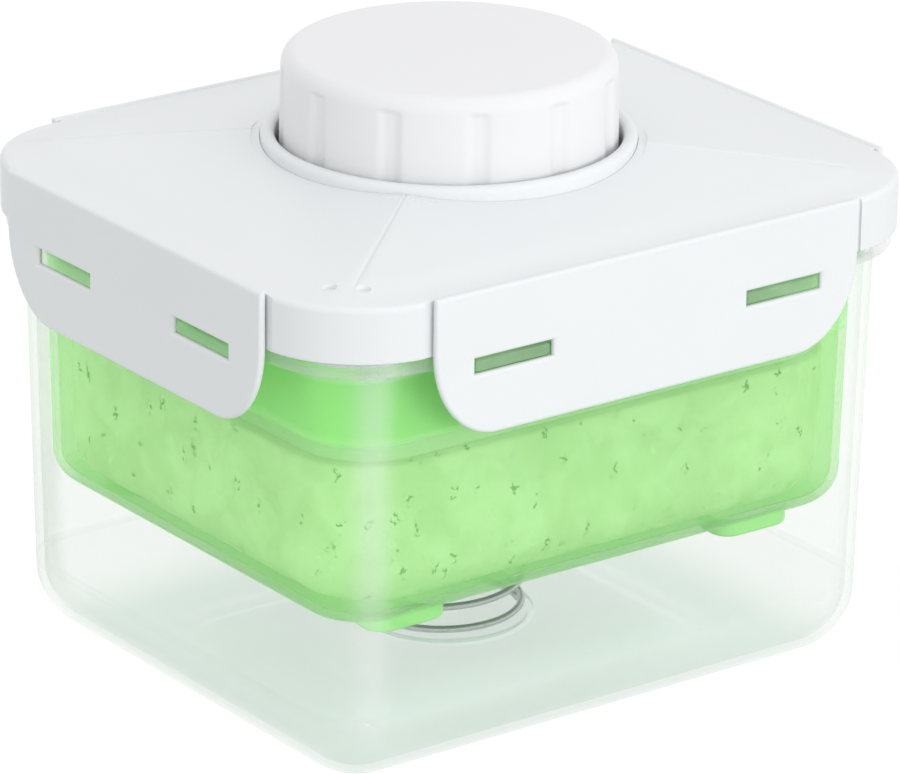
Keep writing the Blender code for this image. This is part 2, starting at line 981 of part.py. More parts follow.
def make_plate():
    half_length, half_width = plate_half_sizes(0)
    angles = polar_angles(half_length, half_width, plate_corner, end_steps, side_steps)
    rim_top = plate_bottom + plate_rim_height
    levels = [
        plate_level(plate_edge_fillet, plate_bottom),
        plate_level(0, plate_bottom + plate_edge_fillet),
        plate_level(0, rim_top),
        plate_level(plate_rim_wall, rim_top),
        plate_level(plate_rim_wall, plate_top_face),
        circle(hub_radius, plate_top_face),
        circle(hub_radius, hub_top),
        circle(hub_bore, hub_top),
        circle(hub_bore, plate_top_face),
    ]
    material = plastic("plate_plastic", (0.90, 0.91, 0.92), 0.4)
    plate = mesh_object("press_plate", loft(levels, angles), press, material)
    combine(plate, make_ribs(half_length, half_width), "UNION")


def make_ribs(half_length, half_width):
    bm = bmesh.new()
    low, high = plate_top_face - embed, plate_top_face + rib_height
    inner = hub_radius - embed
    outer_x = half_length - plate_rim_wall + embed
    outer_y = half_width - plate_rim_wall + embed
    for side in (-1, 1):
        near, far = sorted((side * inner, side * outer_x))
        add_box(bm, (near, -rib_wall / 2, low), (far, rib_wall / 2, high))
        near, far = sorted((side * inner, side * outer_y))
        add_box(bm, (-rib_wall / 2, near, low), (rib_wall / 2, far, high))
    return add_cutter("plate_ribs", bm)


def make_collar():
    section = tube_section(hub_bore - seat_gap, chimney_bore, hub_top, collar_bottom)
    turned("swivel_collar", section, press, plastic("collar_plastic", (0.85, 0.86, 0.87), 0.4))


clear_scene()
press = new_collection("cheese_press")
cutters = new_collection("cutters")
cutters.hide_render = True

make_container()
make_spring()
make_basket()
make_lid()
make_well_cup()
make_seal()
make_flaps()
make_knob()
make_stem()
make_knob_screw()
make_plate()
make_collar()
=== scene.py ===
# Looks of the cheese press: fine shapes, materials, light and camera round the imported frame

import math

import bmesh
import bpy
from mathutils import Matrix, Vector


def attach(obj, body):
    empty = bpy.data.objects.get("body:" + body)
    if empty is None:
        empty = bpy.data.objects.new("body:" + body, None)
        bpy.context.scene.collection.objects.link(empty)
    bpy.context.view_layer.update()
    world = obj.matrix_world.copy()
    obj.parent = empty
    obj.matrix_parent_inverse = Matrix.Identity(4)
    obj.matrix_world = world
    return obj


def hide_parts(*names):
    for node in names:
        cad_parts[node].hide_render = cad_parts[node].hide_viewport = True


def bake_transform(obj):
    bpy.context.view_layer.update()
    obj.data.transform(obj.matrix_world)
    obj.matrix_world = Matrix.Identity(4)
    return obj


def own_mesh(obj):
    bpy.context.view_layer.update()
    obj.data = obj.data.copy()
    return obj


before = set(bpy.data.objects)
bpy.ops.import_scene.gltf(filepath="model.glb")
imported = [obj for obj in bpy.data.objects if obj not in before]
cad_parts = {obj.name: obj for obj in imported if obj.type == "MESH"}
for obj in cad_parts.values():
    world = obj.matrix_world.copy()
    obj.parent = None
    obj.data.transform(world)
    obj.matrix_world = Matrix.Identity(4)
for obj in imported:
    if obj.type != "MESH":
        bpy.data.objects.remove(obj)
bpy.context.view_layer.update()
mm = 0.001
turn = 2 * math.pi
quarterTurn = math.pi / 2
print("frame loaded:", len(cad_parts), "nodes")


# Node trees, written as sums


class Sum:  # a socket that adds a Math node for each sign
    def __init__(self, nodes, socket):
        self.nodes = nodes
        self.socket = socket

    def __add__(self, other):
        return self.nodes.maths("ADD", self, other)

    def __radd__(self, other):
        return self.nodes.maths("ADD", other, self)

    def __sub__(self, other):
        return self.nodes.maths("SUBTRACT", self, other)

    def __rsub__(self, other):
        return self.nodes.maths("SUBTRACT", other, self)

    def __mul__(self, other):
        return self.nodes.maths("MULTIPLY", self, other)

    def __rmul__(self, other):
        return self.nodes.maths("MULTIPLY", other, self)

    def __truediv__(self, other):
        return self.nodes.maths("DIVIDE", self, other)

    def __rtruediv__(self, other):
        return self.nodes.maths("DIVIDE", other, self)


class Nodes:
    def __init__(self, tree):
        self.tree = tree

    def add(self, kind, sockets=None, **settings):
        node = self.tree.nodes.new(kind)
        for name, value in settings.items():
            setattr(node, name, value)
        for key, value in (sockets or {}).items():
            self.feed(node.inputs[key], value)
        return node

    def feed(self, socket, value):  # a node stands for its first output
        if isinstance(value, Sum):
            value = value.socket
        if isinstance(value, bpy.types.Node):
            value = value.outputs[0]
        if isinstance(value, bpy.types.NodeSocket):
            self.tree.links.new(value, socket)
        else:
            socket.default_value = value

    def maths(self, operation, first, second=0.0, third=0.0):
        sockets = {0: first, 1: second, 2: third}
        return Sum(self, self.add("ShaderNodeMath", sockets, operation=operation))

    def clamped(self, value):
        return self.maths("MINIMUM", self.maths("MAXIMUM", value, 0.0), 1.0)

    def eased(self, value, low, high):
        sockets = {"Value": value, "From Min": low, "From Max": high}
        return Sum(self, self.add("ShaderNodeMapRange", sockets, interpolation_type="SMOOTHSTEP"))

    def mixed(self, share, first, second):
        sockets = {0: share, 6: first, 7: second}
        return self.add("ShaderNodeMix", sockets, data_type="RGBA").outputs[2]

    def noise(self, place, scale, detail=2.0, distortion=0.0):
        sockets = {"Vector": place, "Scale": scale, "Detail": detail, "Distortion": distortion}
        return Sum(self, self.add("ShaderNodeTexNoise", sockets))


def makeMaterial(name, shade, look):
    material = bpy.data.materials.new(name)
    material.use_nodes = True
    material.node_tree.nodes.clear()
    nodes = Nodes(material.node_tree)
    place = nodes.add("ShaderNodeTexCoord").outputs["Object"]
    nodes.add("ShaderNodeOutputMaterial", {"Surface": shade(nodes, place, look)})
    return material


# Moulded plastic: a faint cloud in the colour, a fine grain on the skin

grainDepth = 0.0002


def mouldedSkin(nodes, place, look):
    cloud = nodes.noise(place, look["cloudScale"], detail=3.0)
    grain = nodes.noise(place, look["grainScale"], detail=2.0)
    colour = nodes.mixed(cloud, look["shade"], look["colour"])
    sockets = {"Strength": look["bump"], "Distance": grainDepth, "Height": grain}
    bump = nodes.add("ShaderNodeBump", sockets)
    roughness = look["roughness"] + (cloud - 0.5) * look["roughnessSpread"]
    sockets = {"Base Color": colour, "Roughness": roughness, "Normal": bump}
    return nodes.add("ShaderNodeBsdfPrincipled", sockets)


def opaquePlastic(nodes, place, look):  # thin white walls let a little light through
    skin = mouldedSkin(nodes, place, look)
    through = nodes.add("ShaderNodeBsdfTranslucent", {"Color": look["colour"]})
    return nodes.add("ShaderNodeMixShader", {0: look["through"], 1: skin, 2: through})


# See-through plastic: a share of each face is body colour, and the rest lets tinted light through


def heightBand(nodes, height, band):  # low and high end, and the fade beyond each
    low, high, fade = (value * mm for value in band)
    return nodes.eased(height, low - fade, low) * (1 - nodes.eased(height, high, high + fade))


# painted highlight: a vertical band of whitish body down each corner of the box stands in for a
# softbox reflection
def paintedCornerHighlight(nodes, x, y, streak):
    across = nodes.eased(x, streak["xStart"] * mm, streak["xPeak"] * mm)
    past = nodes.eased(x, streak["xPeak"] * mm, streak["xEnd"] * mm)
    return across * (1 - past) * nodes.eased(y, streak["yStart"] * mm, streak["yPeak"] * mm)


def seeThroughPlastic(nodes, place, look):
    split = nodes.add("ShaderNodeSeparateXYZ", {0: place})
    height = Sum(nodes, split.outputs[2])
    x, y = (nodes.maths("ABSOLUTE", socket) for socket in split.outputs[:2])
    skin = mouldedSkin(nodes, place, look)
    facing = nodes.add("ShaderNodeLayerWeight", {"Blend": 0.5}).outputs["Facing"]
    edge = nodes.eased(facing, look["edgeStart"], 1.0)
    haze = nodes.noise(place, look["hazeScale"], detail=2.0)
    body = look["body"] + (haze - 0.5) * look["hazeSpread"]
    for band, share in look.get("bands", ()):
        body = body + heightBand(nodes, height, band) * share
    # painted highlight down the box's corners
    if "streak" in look:
        body = body + paintedCornerHighlight(nodes, x, y, look["streak"]) * look["streak"]["share"]
    if "base" in look:  # painted light and shade: the floor gets a teal tint and more body for green light thrown down from the basket and the shade under it, and its edges soft
        base = look["base"]
        above = nodes.eased(height, base["start"] * mm, base["end"] * mm)
        sides = ((x, base["fadeX"]), (y, base["fadeY"]))
        fades = [1 - nodes.eased(side, low * mm, high * mm) for side, (low, high) in sides]
        inner = fades[0] * fades[1] * (1 - above)
        body = body + inner * base["share"]
        plain = skin.inputs["Base Color"].links[0].from_socket
        nodes.feed(skin.inputs["Base Color"], nodes.mixed(inner, plain, base["colour"]))
        edge = edge * (base["edge"] + above * (1 - base["edge"]))
    body = body + edge * edge * look["edge"]
    film = nodes.add("ShaderNodeBsdfTransparent", {"Color": look["tint"]})
    return nodes.add("ShaderNodeMixShader", {0: nodes.clamped(body), 1: film, 2: skin})


def springSteel(nodes, place, look):
    drawn = nodes.noise(place, look["drawnScale"], detail=2.0)
    colour = nodes.mixed(drawn, look["shade"], look["colour"])
    roughness = look["roughness"] + (drawn - 0.5) * look["roughnessSpread"]
    sockets = {"Base Color": colour, "Roughness": roughness, "Metallic": 1.0}
    return nodes.add("ShaderNodeBsdfPrincipled", sockets)


def curdSkin(nodes, place, look):
    cloud = nodes.noise(place, look["cloudScale"], detail=4.0, distortion=0.6)
    crumb = nodes.noise(place, look["crumbScale"], detail=3.0, distortion=0.4)
    curd = nodes.mixed(nodes.eased(cloud, *look["cloudEase"]), look["shade"], look["colour"])
    ragged = nodes.add("ShaderNodeTexNoise", {"Vector": place, "Scale": look["raggedScale"]})
    sockets = {0: ragged.outputs["Color"], "Scale": look["raggedShift"] * mm}
    shift = nodes.add("ShaderNodeVectorMath", sockets, operation="SCALE")
    moved = nodes.add("ShaderNodeVectorMath", {0: place, 1: shift}, operation="ADD")
    sockets = {"Vector": moved, "Rotation": look["slitTurn"], "Scale": look["slitStretch"]}
    stretched = nodes.add("ShaderNodeMapping", sockets, vector_type="POINT")
    cells = nodes.add("ShaderNodeTexVoronoi", {"Vector": stretched, "Scale": look["slitScale"]})
    near = Sum(nodes, cells.outputs["Distance"])
    # painted shadow: most slit cells are coloured near black for the shade deep in the curd's
    # cracks, the rest are pale curd
    slit = 1 - nodes.eased(near, look["slitSize"] * look["slitCore"], look["slitSize"])
    pick = nodes.add("ShaderNodeSeparateXYZ", {0: cells.outputs["Color"]})
    mark = nodes.mixed(nodes.eased(pick, *look["paleEase"]), look["slitColour"], look["paleColour"])
    colour = nodes.mixed(slit, curd, mark)
    sockets = {"Strength": look["bump"], "Distance": look["bumpDepth"] * mm, "Height": crumb - slit}
    bump = nodes.add("ShaderNodeBump", sockets)
    roughness = look["roughness"] + cloud * look["roughnessSpread"]
    sockets = {"Base Color": colour, "Roughness": roughness, "Normal": bump}
    return nodes.add("ShaderNodeBsdfPrincipled", sockets)


whiteLook = {
    "colour": (0.91, 0.93, 0.945, 1.0),
    "shade": (0.885, 0.91, 0.925, 1.0),
    "cloudScale": 45.0,
    "grainScale": 2600.0,
    "bump": 0.12,
    "roughness": 0.38,
    "roughnessSpread": 0.10,
    "through": 0.10,
}
knobLook = {
    "colour": (0.885, 0.885, 0.90, 1.0),
    "shade": (0.87, 0.87, 0.885, 1.0),
    "cloudScale": 60.0,
    "grainScale": 900.0,
    "bump": 0.02,
    "roughness": 0.33,
    "roughnessSpread": 0.06,
    "through": 0.05,
}
greenLook = {
    "colour": (0.33, 0.93, 0.21, 1.0),
    "shade": (0.30, 0.90, 0.18, 1.0),
    "tint": (0.98, 0.98, 0.94, 1.0),
    "cloudScale": 70.0,
    "grainScale": 2400.0,
    "bump": 0.05,
    "roughness": 0.33,
    "roughnessSpread": 0.06,
    "body": 0.44,
    "hazeScale": 30.0,
    "hazeSpread": 0.05,
    "edgeStart": 0.50,
    "edge": 0.28,
    "bands": (((26.0, 30.4, 1.5), 0.24), ((34.0, 65.4, 2.0), -0.16), ((67.4, 90.0, 1.0), 0.14)),
}
clearLook = {
    "colour": (0.93, 0.95, 0.935, 1.0),
    "shade": (0.91, 0.935, 0.915, 1.0),
    "tint": (0.993, 0.998, 0.995, 1.0),
    "cloudScale": 50.0,
    "grainScale": 1800.0,
    "bump": 0.04,
    "roughness": 0.22,
    "roughnessSpread": 0.06,
    "body": 0.05,
    "hazeScale": 25.0,
    "hazeSpread": 0.03,
    "edgeStart": 0.40,
    "edge": 0.40,
    "bands": (
        ((-1.0, 14.0, 0.8), 0.03),
        ((14.3, 14.8, 0.4), 0.06),
        ((80.4, 85.3, 0.5), 0.12),
        ((85.7, 93.0, 0.3), -0.35),
    ),
    # painted light and shade: the teal colour and extra body on the floor stand for green bounce
    # light and shade
    "base": {
        "start": 6.0,
        "end": 10.0,
        "fadeX": (50.0, 62.0),
        "fadeY": (41.0, 53.0),
        "share": 0.16,
        "edge": 0.1,
        "colour": (0.62, 0.90, 0.78, 1.0),
    },
    # painted highlight: where the whitish band runs down each corner
    "streak": {
        "xStart": 50.0,
        "xPeak": 55.4,
        "xEnd": 61.0,
        "yStart": 48.0,
        "yPeak": 52.5,
        "share": 0.16,
    },
}
sealLook = {
    "colour": (0.80, 0.83, 0.82, 1.0),
    "shade": (0.76, 0.79, 0.78, 1.0),
    "tint": (0.90, 0.94, 0.92, 1.0),
    "cloudScale": 80.0,
    "grainScale": 1500.0,
    "bump": 0.10,
    "roughness": 0.5,
    "roughnessSpread": 0.10,
    "body": 0.45,
    "hazeScale": 40.0,
    "hazeSpread": 0.06,
    "edgeStart": 0.6,
    "edge": 0.3,
}
steelLook = {
    "colour": (0.62, 0.64, 0.65, 1.0),
    "shade": (0.42, 0.44, 0.46, 1.0),
    "drawnScale": 900.0,
    "roughness": 0.33,
    "roughnessSpread": 0.08,
}
curdLook = {
    "colour": (0.97, 0.96, 0.90, 1.0),
    "shade": (0.79, 0.80, 0.68, 1.0),
    "cloudScale": 110.0,
    "cloudEase": (0.35, 0.65),
    "crumbScale": 330.0,
    "bump": 0.5,
    "bumpDepth": 0.6,
    "roughness": 0.55,
    "roughnessSpread": 0.15,
    "raggedScale": 900.0,
    "raggedShift": 4.5,
    "slitScale": 160.0,
    "slitSize": 0.18,
    "slitCore": 0.6,
    "slitTurn": (0.9, 0.4, 0.6),
    "slitStretch": (1.9, 1.9, 0.6),
    # painted shadow in the curd's cracks
    "slitColour": (0.05, 0.10, 0.03, 1.0),
    "paleColour": (1.0, 1.0, 0.97, 1.0),
    "paleEase": (0.6, 0.7),
}

whitePlastic = makeMaterial("satinWhite", opaquePlastic, whiteLook)
knobPlastic = makeMaterial("knobWhite", opaquePlastic, knobLook)
greenPlastic = makeMaterial("translucentGreen", seeThroughPlastic, greenLook)
clearPlastic = makeMaterial("clearBox", seeThroughPlastic, clearLook)
silicone = makeMaterial("paleSilicone", seeThroughPlastic, sealLook)
steel = makeMaterial("drawnSteel", springSteel, steelLook)
curd = makeMaterial("pressedCurd", curdSkin, curdLook)
print("materials made")


# Sections, in millimetres: each corner holds half length, half width, corner radius, height,
# its share of the roof's rise, and how far from it a bend starts

leastRadius = 0.3
wideBend = 2.0  # from here on a bend has three times the steps


def corner(halfLength, halfWidth, radius, height, bend=0.0, share=0.0):
    return (halfLength, halfWidth, max(radius, leastRadius), height, share, bend)


def ring(radius, height, bend=0.0, share=0.0):
    return (radius, radius, radius, height, share, bend)


def rings(sizes, rows):  # a row names a radius and a height among the sizes, and may add a bend
    return [ring(sizes[radius], sizes[height], *bend) for radius, height, *bend in rows]


def arm(here, there, length):
    away = [b - a for a, b in zip(here, there)]
    size = math.hypot(away[0], away[3]) or math.hypot(away[1], away[3])
    return [value * length / size for value in away]


def bent(corners, steps=4):
    levels = []
    for index, (*here, bend) in enumerate(corners):
        if bend == 0:
            levels.append(here)
            continue
        before = corners[index - 1][:-1]
        after = corners[(index + 1) % len(corners)][:-1]
        back, on = arm(here, before, bend), arm(here, after, bend)
        count = steps if bend < wideBend else 3 * steps
        for step in range(count + 1):
            angle = quarterTurn * step / count
            shares = (1 - math.sin(angle), 1 - math.cos(angle))
            levels.append([h + b * shares[0] + o * shares[1] for h, b, o in zip(here, back, on)])
    return levels


# Polar angles that follow the corners of all the outlines of a piece


def outlineAngles(outlines, cornerSteps=12, widest=math.radians(3), extra=()):
    marks = {0.0, quarterTurn}
    for halfLength, halfWidth, radius in outlines:
        for step in range(cornerSteps + 1):
            angle = quarterTurn * step / cornerSteps
            x = halfLength - radius + radius * math.cos(angle)
            y = halfWidth - radius + radius * math.sin(angle)
            marks.add(math.atan2(y, x))
    least = math.radians(0.25)
    kept = sorted([*extra, 0.0, quarterTurn])
    for mark in sorted(marks):
        if all(abs(mark - other) > least for other in kept):
            kept.append(mark)
    kept.sort()
    quarter = []
    for low, high in zip(kept, kept[1:]):
        count = math.ceil((high - low) / widest)
        quarter += [low + (high - low) * step / count for step in range(count)]
    half = quarter + [math.pi - angle for angle in reversed([*quarter[1:], quarterTurn])]
    return half + [angle + math.pi for angle in half]


def reach(halfLength, halfWidth, radius, angle):
    along, across = abs(math.cos(angle)), abs(math.sin(angle))
    centreX, centreY = halfLength - radius, halfWidth - radius
    if across * halfLength <= centreY * along:
        return halfLength / along
    if along * halfWidth <= centreX * across:
        return halfWidth / across
    middle = along * centreX + across * centreY
    return middle + math.sqrt(max(middle**2 - centreX**2 - centreY**2 + radius**2, 0))


def loft(name, levels, angles, closed, lift=None):
    bm = bmesh.new()
    loops = []
    for halfLength, halfWidth, radius, height, share in levels:
        points = []
        for angle in angles:
            distance = reach(halfLength, halfWidth, radius, angle)
            x, y = distance * math.cos(angle), distance * math.sin(angle)
            z = height + (share * lift(x, y) if lift and share else 0)
            points.append(bm.verts.new((x * mm, y * mm, z * mm)))
        loops.append(points)
    pairs = list(zip(loops, loops[1:])) + ([(loops[-1], loops[0])] if closed else [])
    for lower, upper in pairs:
        for index in range(len(angles)):
            following = (index + 1) % len(angles)
            bm.faces.new((lower[index], lower[following], upper[following], upper[index]))
    if not closed:
        bm.faces.new(loops[0])
        bm.faces.new(loops[-1])
    return meshObject(name, bm)


def turned(name, section, closed, sides=96):
    angles = [turn * index / sides for index in range(sides)]
    return loft(name, bent(section), angles, closed)


def meshObject(name, bm):
    bmesh.ops.recalc_face_normals(bm, faces=bm.faces[:])
    mesh = bpy.data.meshes.new(name)
    bm.to_mesh(mesh)
    bm.free()
    return addObject(name, mesh)


def addObject(name, data):
    thing = bpy.data.objects.new(name, data)
    bpy.context.scene.collection.objects.link(thing)
    return thing


# Modifiers are turned into plain mesh before a piece rides on anything


def bake(thing):
    bpy.context.view_layer.update()
    evaluated = thing.evaluated_get(bpy.context.evaluated_depsgraph_get())
    mesh = bpy.data.meshes.new_from_object(evaluated)
    thing.modifiers.clear()
    if thing.type == "MESH":
        thing.data = mesh
        return thing
    name = thing.name
    place = thing.matrix_world.copy()
    bpy.data.objects.remove(thing)
    made = addObject(name, mesh)
    mesh.transform(place)
    return made


def combine(thing, tools):
    for tool, operation in tools:
        modifier = thing.modifiers.new(tool.name, "BOOLEAN")
        modifier.operation = operation
        modifier.object = tool
    thing = bake(thing)
    for tool, _ in tools:
        bpy.data.objects.remove(tool)
    return thing


def smoothed(thing, angle=34):
    thing.data.shade_smooth()
    thing.data.set_sharp_from_angle(angle=math.radians(angle))
    modifier = thing.modifiers.new("Flat faces", "WEIGHTED_NORMAL")
    modifier.keep_sharp = True
    modifier.weight = 80
    return bake(thing)


def finishPiece(thing, material, body, nodes=()):
    thing.data.materials.clear()
    thing.data.materials.append(material)
    for face in thing.data.polygons:
        face.material_index = 0
    if body:
        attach(thing, body)
    if nodes:
        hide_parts(*nodes)
    print(thing.name, len(thing.data.polygons), "faces")
    return thing


nearly = 0.01
levelSteps = 3
uprightSteps = 6


def addBox(bm, low, high, bend=0.0, uprightBend=0.0):  # all edges bend, or the level ones apart
    size = Vector(high) - Vector(low)
    middle = (Vector(high) + Vector(low)) / 2
    made = bmesh.ops.create_cube(bm, size=1.0)["verts"]
    for vertex in made:
        vertex.co = Vector([(c * s + m) * mm for c, s, m in zip(vertex.co, size, middle)])
    edges = {edge for vertex in made for edge in vertex.link_edges}
    if uprightBend:
        upright = [e for e in edges if (e.verts[0].co.xy - e.verts[1].co.xy).length < nearly * mm]
        sizes = {"offset": uprightBend * mm, "segments": uprightSteps}
        rounded = bmesh.ops.bevel(bm, geom=upright, profile=0.5, affect="EDGES", **sizes)
        made = {vertex for face in rounded["faces"] for vertex in face.verts}
        edges = {edge for vertex in made for edge in vertex.link_edges}
    if bend:
        level = [e for e in edges if abs(e.verts[0].co.z - e.verts[1].co.z) < nearly * mm]
        level = level if uprightBend else list(edges)
        sizes = {"offset": bend * mm, "segments": levelSteps}
        bmesh.ops.bevel(bm, geom=level, profile=0.5, affect="EDGES", **sizes)


def addOnSides(bm, depths, lengths, levels, bend=0.0):  # each in x, then in y; levels in z
    for end in (-1, 1):
        (near, far), (left, right) = sorted(end * depth for depth in depths[1]), lengths[0]
        addBox(bm, (left, near, levels[0]), (right, far, levels[1]), bend)
        (near, far), (left, right) = sorted(end * depth for depth in depths[0]), lengths[1]
        addBox(bm, (near, left, levels[0]), (far, right, levels[1]), bend)


# Trees of geometry nodes, with named inputs: shape draws the middle of a tree


def geometryTree(name, shape, inputs):
    tree = bpy.data.node_groups.new(name, "GeometryNodeTree")
    tree.interface.new_socket("Geometry", in_out="INPUT", socket_type="NodeSocketGeometry")
    for label, value in inputs.items():
        kind = "NodeSocketInt" if isinstance(value, int) else "NodeSocketFloat"
        kind = "NodeSocketMaterial" if isinstance(value, bpy.types.Material) else kind
        socket = tree.interface.new_socket(label, in_out="INPUT", socket_type=kind)
        if kind != "NodeSocketMaterial":
            socket.default_value = value
    tree.interface.new_socket("Geometry", in_out="OUTPUT", socket_type="NodeSocketGeometry")
    nodes = Nodes(tree)
    start = nodes.add("NodeGroupInput")
    values = {label: Sum(nodes, start.outputs[label]) for label in inputs}
    shaped = shape(nodes, start.outputs["Geometry"], values)
    real = nodes.add("GeometryNodeRealizeInstances", {0: shaped})
    sockets = {"Geometry": real, "Material": values["Material"]}
    nodes.add("NodeGroupOutput", {0: nodes.add("GeometryNodeSetMaterial", sockets)})
    return tree


def grow(thing, name, shape, inputs, material):
    inputs = {**inputs, "Material": material}
    tree = geometryTree(name, shape, inputs)
    modifier = thing.modifiers.new(name, "NODES")
    modifier.node_group = tree
    for socket in tree.interface.items_tree:
        if socket.in_out == "INPUT" and socket.name in inputs:
            modifier[socket.identifier] = inputs[socket.name]
    return bake(thing)


# Container

box = {
    "halfLength": 63.1,
    "halfWidth": 54.1,
    "height": 92.0,
    "lean": 1.4,
    "wall": 1.6,
    "corner": 13.5,
    "fillet": 13.4,
    "panelLength": 44.0,
    "panelWidth": 33.0,
    "panelCorner": 12.0,
    "panelHeight": 5.0,
    "panelSlope": 8.0,
    "panelBend": 3.0,
    "panelFoot": 1.5,
    "panelSpread": 1.0,
    "panelRun": 7.0,
    "flangeLength": 69.0,
    "flangeWidth": 59.6,
    "flangeCorner": 21.0,
    "flangeBottom": 82.4,
    "flangeTop": 85.0,
    "edgeBend": 0.45,
    "lugBottom": 80.9,
    "lugLength": 16.3,
    "lugReachX": 70.7,
    "lugReachY": 61.3,
    "lugX": 30.7,
    "lugY": 22.2,
    "lugEmbed": 0.6,
    "lugBend": 0.35,
    "ringOuter": 17.3,
    "ringInner": 16.1,
    "ringTop": 6.0,
    "ringFoot": 4.6,
    "ringBend": 0.3,
}


def wallAt(inset, height, bend=0.0):
    lean = box["lean"] * height / box["height"] - inset
    sizes = (box["halfLength"] + lean, box["halfWidth"] + lean, box["corner"] - inset)
    return corner(*sizes, height, bend)


def panelAt(inset, height, bend=0.0):
    sizes = (box["panelLength"] - inset, box["panelWidth"] - inset, box["panelCorner"] - inset)
    return corner(*sizes, height, bend)


def makeContainer():
    wall, fillet, bend = box["wall"], box["fillet"], box["edgeBend"]
    top, low, high = box["height"], box["flangeBottom"], box["flangeTop"]
    slope, floor, spread = box["panelSlope"], box["panelHeight"], box["panelSpread"]
    flange = (box["flangeLength"], box["flangeWidth"], box["flangeCorner"])
    section = [
        panelAt(slope + box["panelRun"], floor),
        panelAt(slope, floor, box["panelBend"]),
        panelAt(-spread, wall, box["panelFoot"]),
        wallAt(fillet, wall),
        wallAt(wall, wall, fillet - wall),
        wallAt(wall, top, bend),
        wallAt(0, top, bend),
        wallAt(0, high, bend),
        corner(*flange, high, bend),
        corner(*flange, low, bend),
        wallAt(0, low, bend),
        wallAt(0, 0, fillet),
        wallAt(fillet, 0),
        panelAt(wall, 0, box["panelFoot"]),
        panelAt(slope + spread, floor - wall, box["panelBend"]),
        panelAt(slope + box["panelRun"], floor - wall),
    ]
    outlines = [(box["halfLength"], box["halfWidth"], box["corner"]), flange]
    outlines.append((box["panelLength"], box["panelWidth"], box["panelCorner"]))
    thing = loft("containerShell", bent(section), outlineAngles(outlines), False)
    lugs = bmesh.new()
    half = box["lugLength"] / 2
    levels = (box["lugBottom"], box["flangeBottom"] + box["lugEmbed"])
    depths = ((box["halfLength"], box["lugReachX"]), (box["halfWidth"], box["lugReachY"]))
    for side in (-1, 1):
        middles = (side * box["lugX"], side * box["lugY"])
        lengths = [(middle - half, middle + half) for middle in middles]
        addOnSides(lugs, depths, lengths, levels, box["lugBend"])
    bend = box["ringBend"]
    rows = (("ringOuter", "ringTop", bend), ("ringOuter", "ringFoot"))
    rows += (("ringInner", "ringFoot"), ("ringInner", "ringTop", bend))
    collar = turned("ringTool", rings(box, rows), True)
    tools = [(meshObject("lugTool", lugs), "UNION"), (collar, "UNION")]
    thing = smoothed(combine(thing, tools))
    finishPiece(thing, clearPlastic, "root", ["container"])


makeContainer()


# Basket, with drains cut by a tree of geometry nodes

tray = {
    "clearance": 3.0,
    "wall": 1.5,
    "corner": 13.0,
    "fillet": 6.4,
    "base": 30.7,
    "rim": 82.0,
    "rimBend": 0.5,
    "footLength": 17.0,
    "footWidth": 10.0,
    "footCorner": 4.0,
    "footX": 40.07,
    "footY": 40.17,
    "footBottom": 27.0,
    "footBend": 0.8,
    "hubOuter": 12.97,
    "hubInner": 11.47,
    "hubBottom": 27.7,
    "hubBend": 0.4,
    "embed": 0.5,
    "floorRun": 8.0,
}
drains = {
    "Columns": 5,
    "Rows": 11,
    "Pitch Along": 18.49,
    "Pitch Across": 7.494,
    "Length": 12.99,
    "Width": 2.2,
    "Depth": 4.0,
    "Height": 31.45,
    "Hub Radius": 16.1,
    "Foot X": 31.1,
    "Foot Y": 33.6,
}
slotRound = 0.49  # radius of a slot's ends as a share of its width
mergeReach = 0.01


def trayAt(inset, height, bend=0.0):
    inward = tray["clearance"] + inset - box["lean"] * height / box["height"]
    sizes = (box["halfLength"] - inward, box["halfWidth"] - inward, tray["corner"] - inset)
    return corner(*sizes, height, bend)


def slotSolid(nodes, values):  # a slot with round ends, drawn flat and raised
    sockets = {0: values["Length"] * mm, 1: values["Width"] * mm}
    outline = nodes.add("GeometryNodeCurvePrimitiveQuadrilateral", sockets)
    radius = values["Width"] * (slotRound * mm)
    sockets = {"Curve": outline, "Radius": radius, "Count": 5}
    outline = nodes.add("GeometryNodeFilletCurve", sockets, mode="POLY")
    face = nodes.add("GeometryNodeFillCurve", {0: outline})
    rise = nodes.add("ShaderNodeCombineXYZ", {2: values["Depth"] * mm})
    sockets = {"Mesh": face, "Offset": rise, "Offset Scale": 1.0, "Individual": False}
    raised = nodes.add("GeometryNodeExtrudeMesh", sockets)
    lid = nodes.add("GeometryNodeFlipFaces", {0: face})
    joined = nodes.add("GeometryNodeJoinGeometry", {0: raised})
    nodes.feed(joined.inputs[0], lid)
    return nodes.add("GeometryNodeMergeByDistance", {0: joined, "Distance": mergeReach * mm})


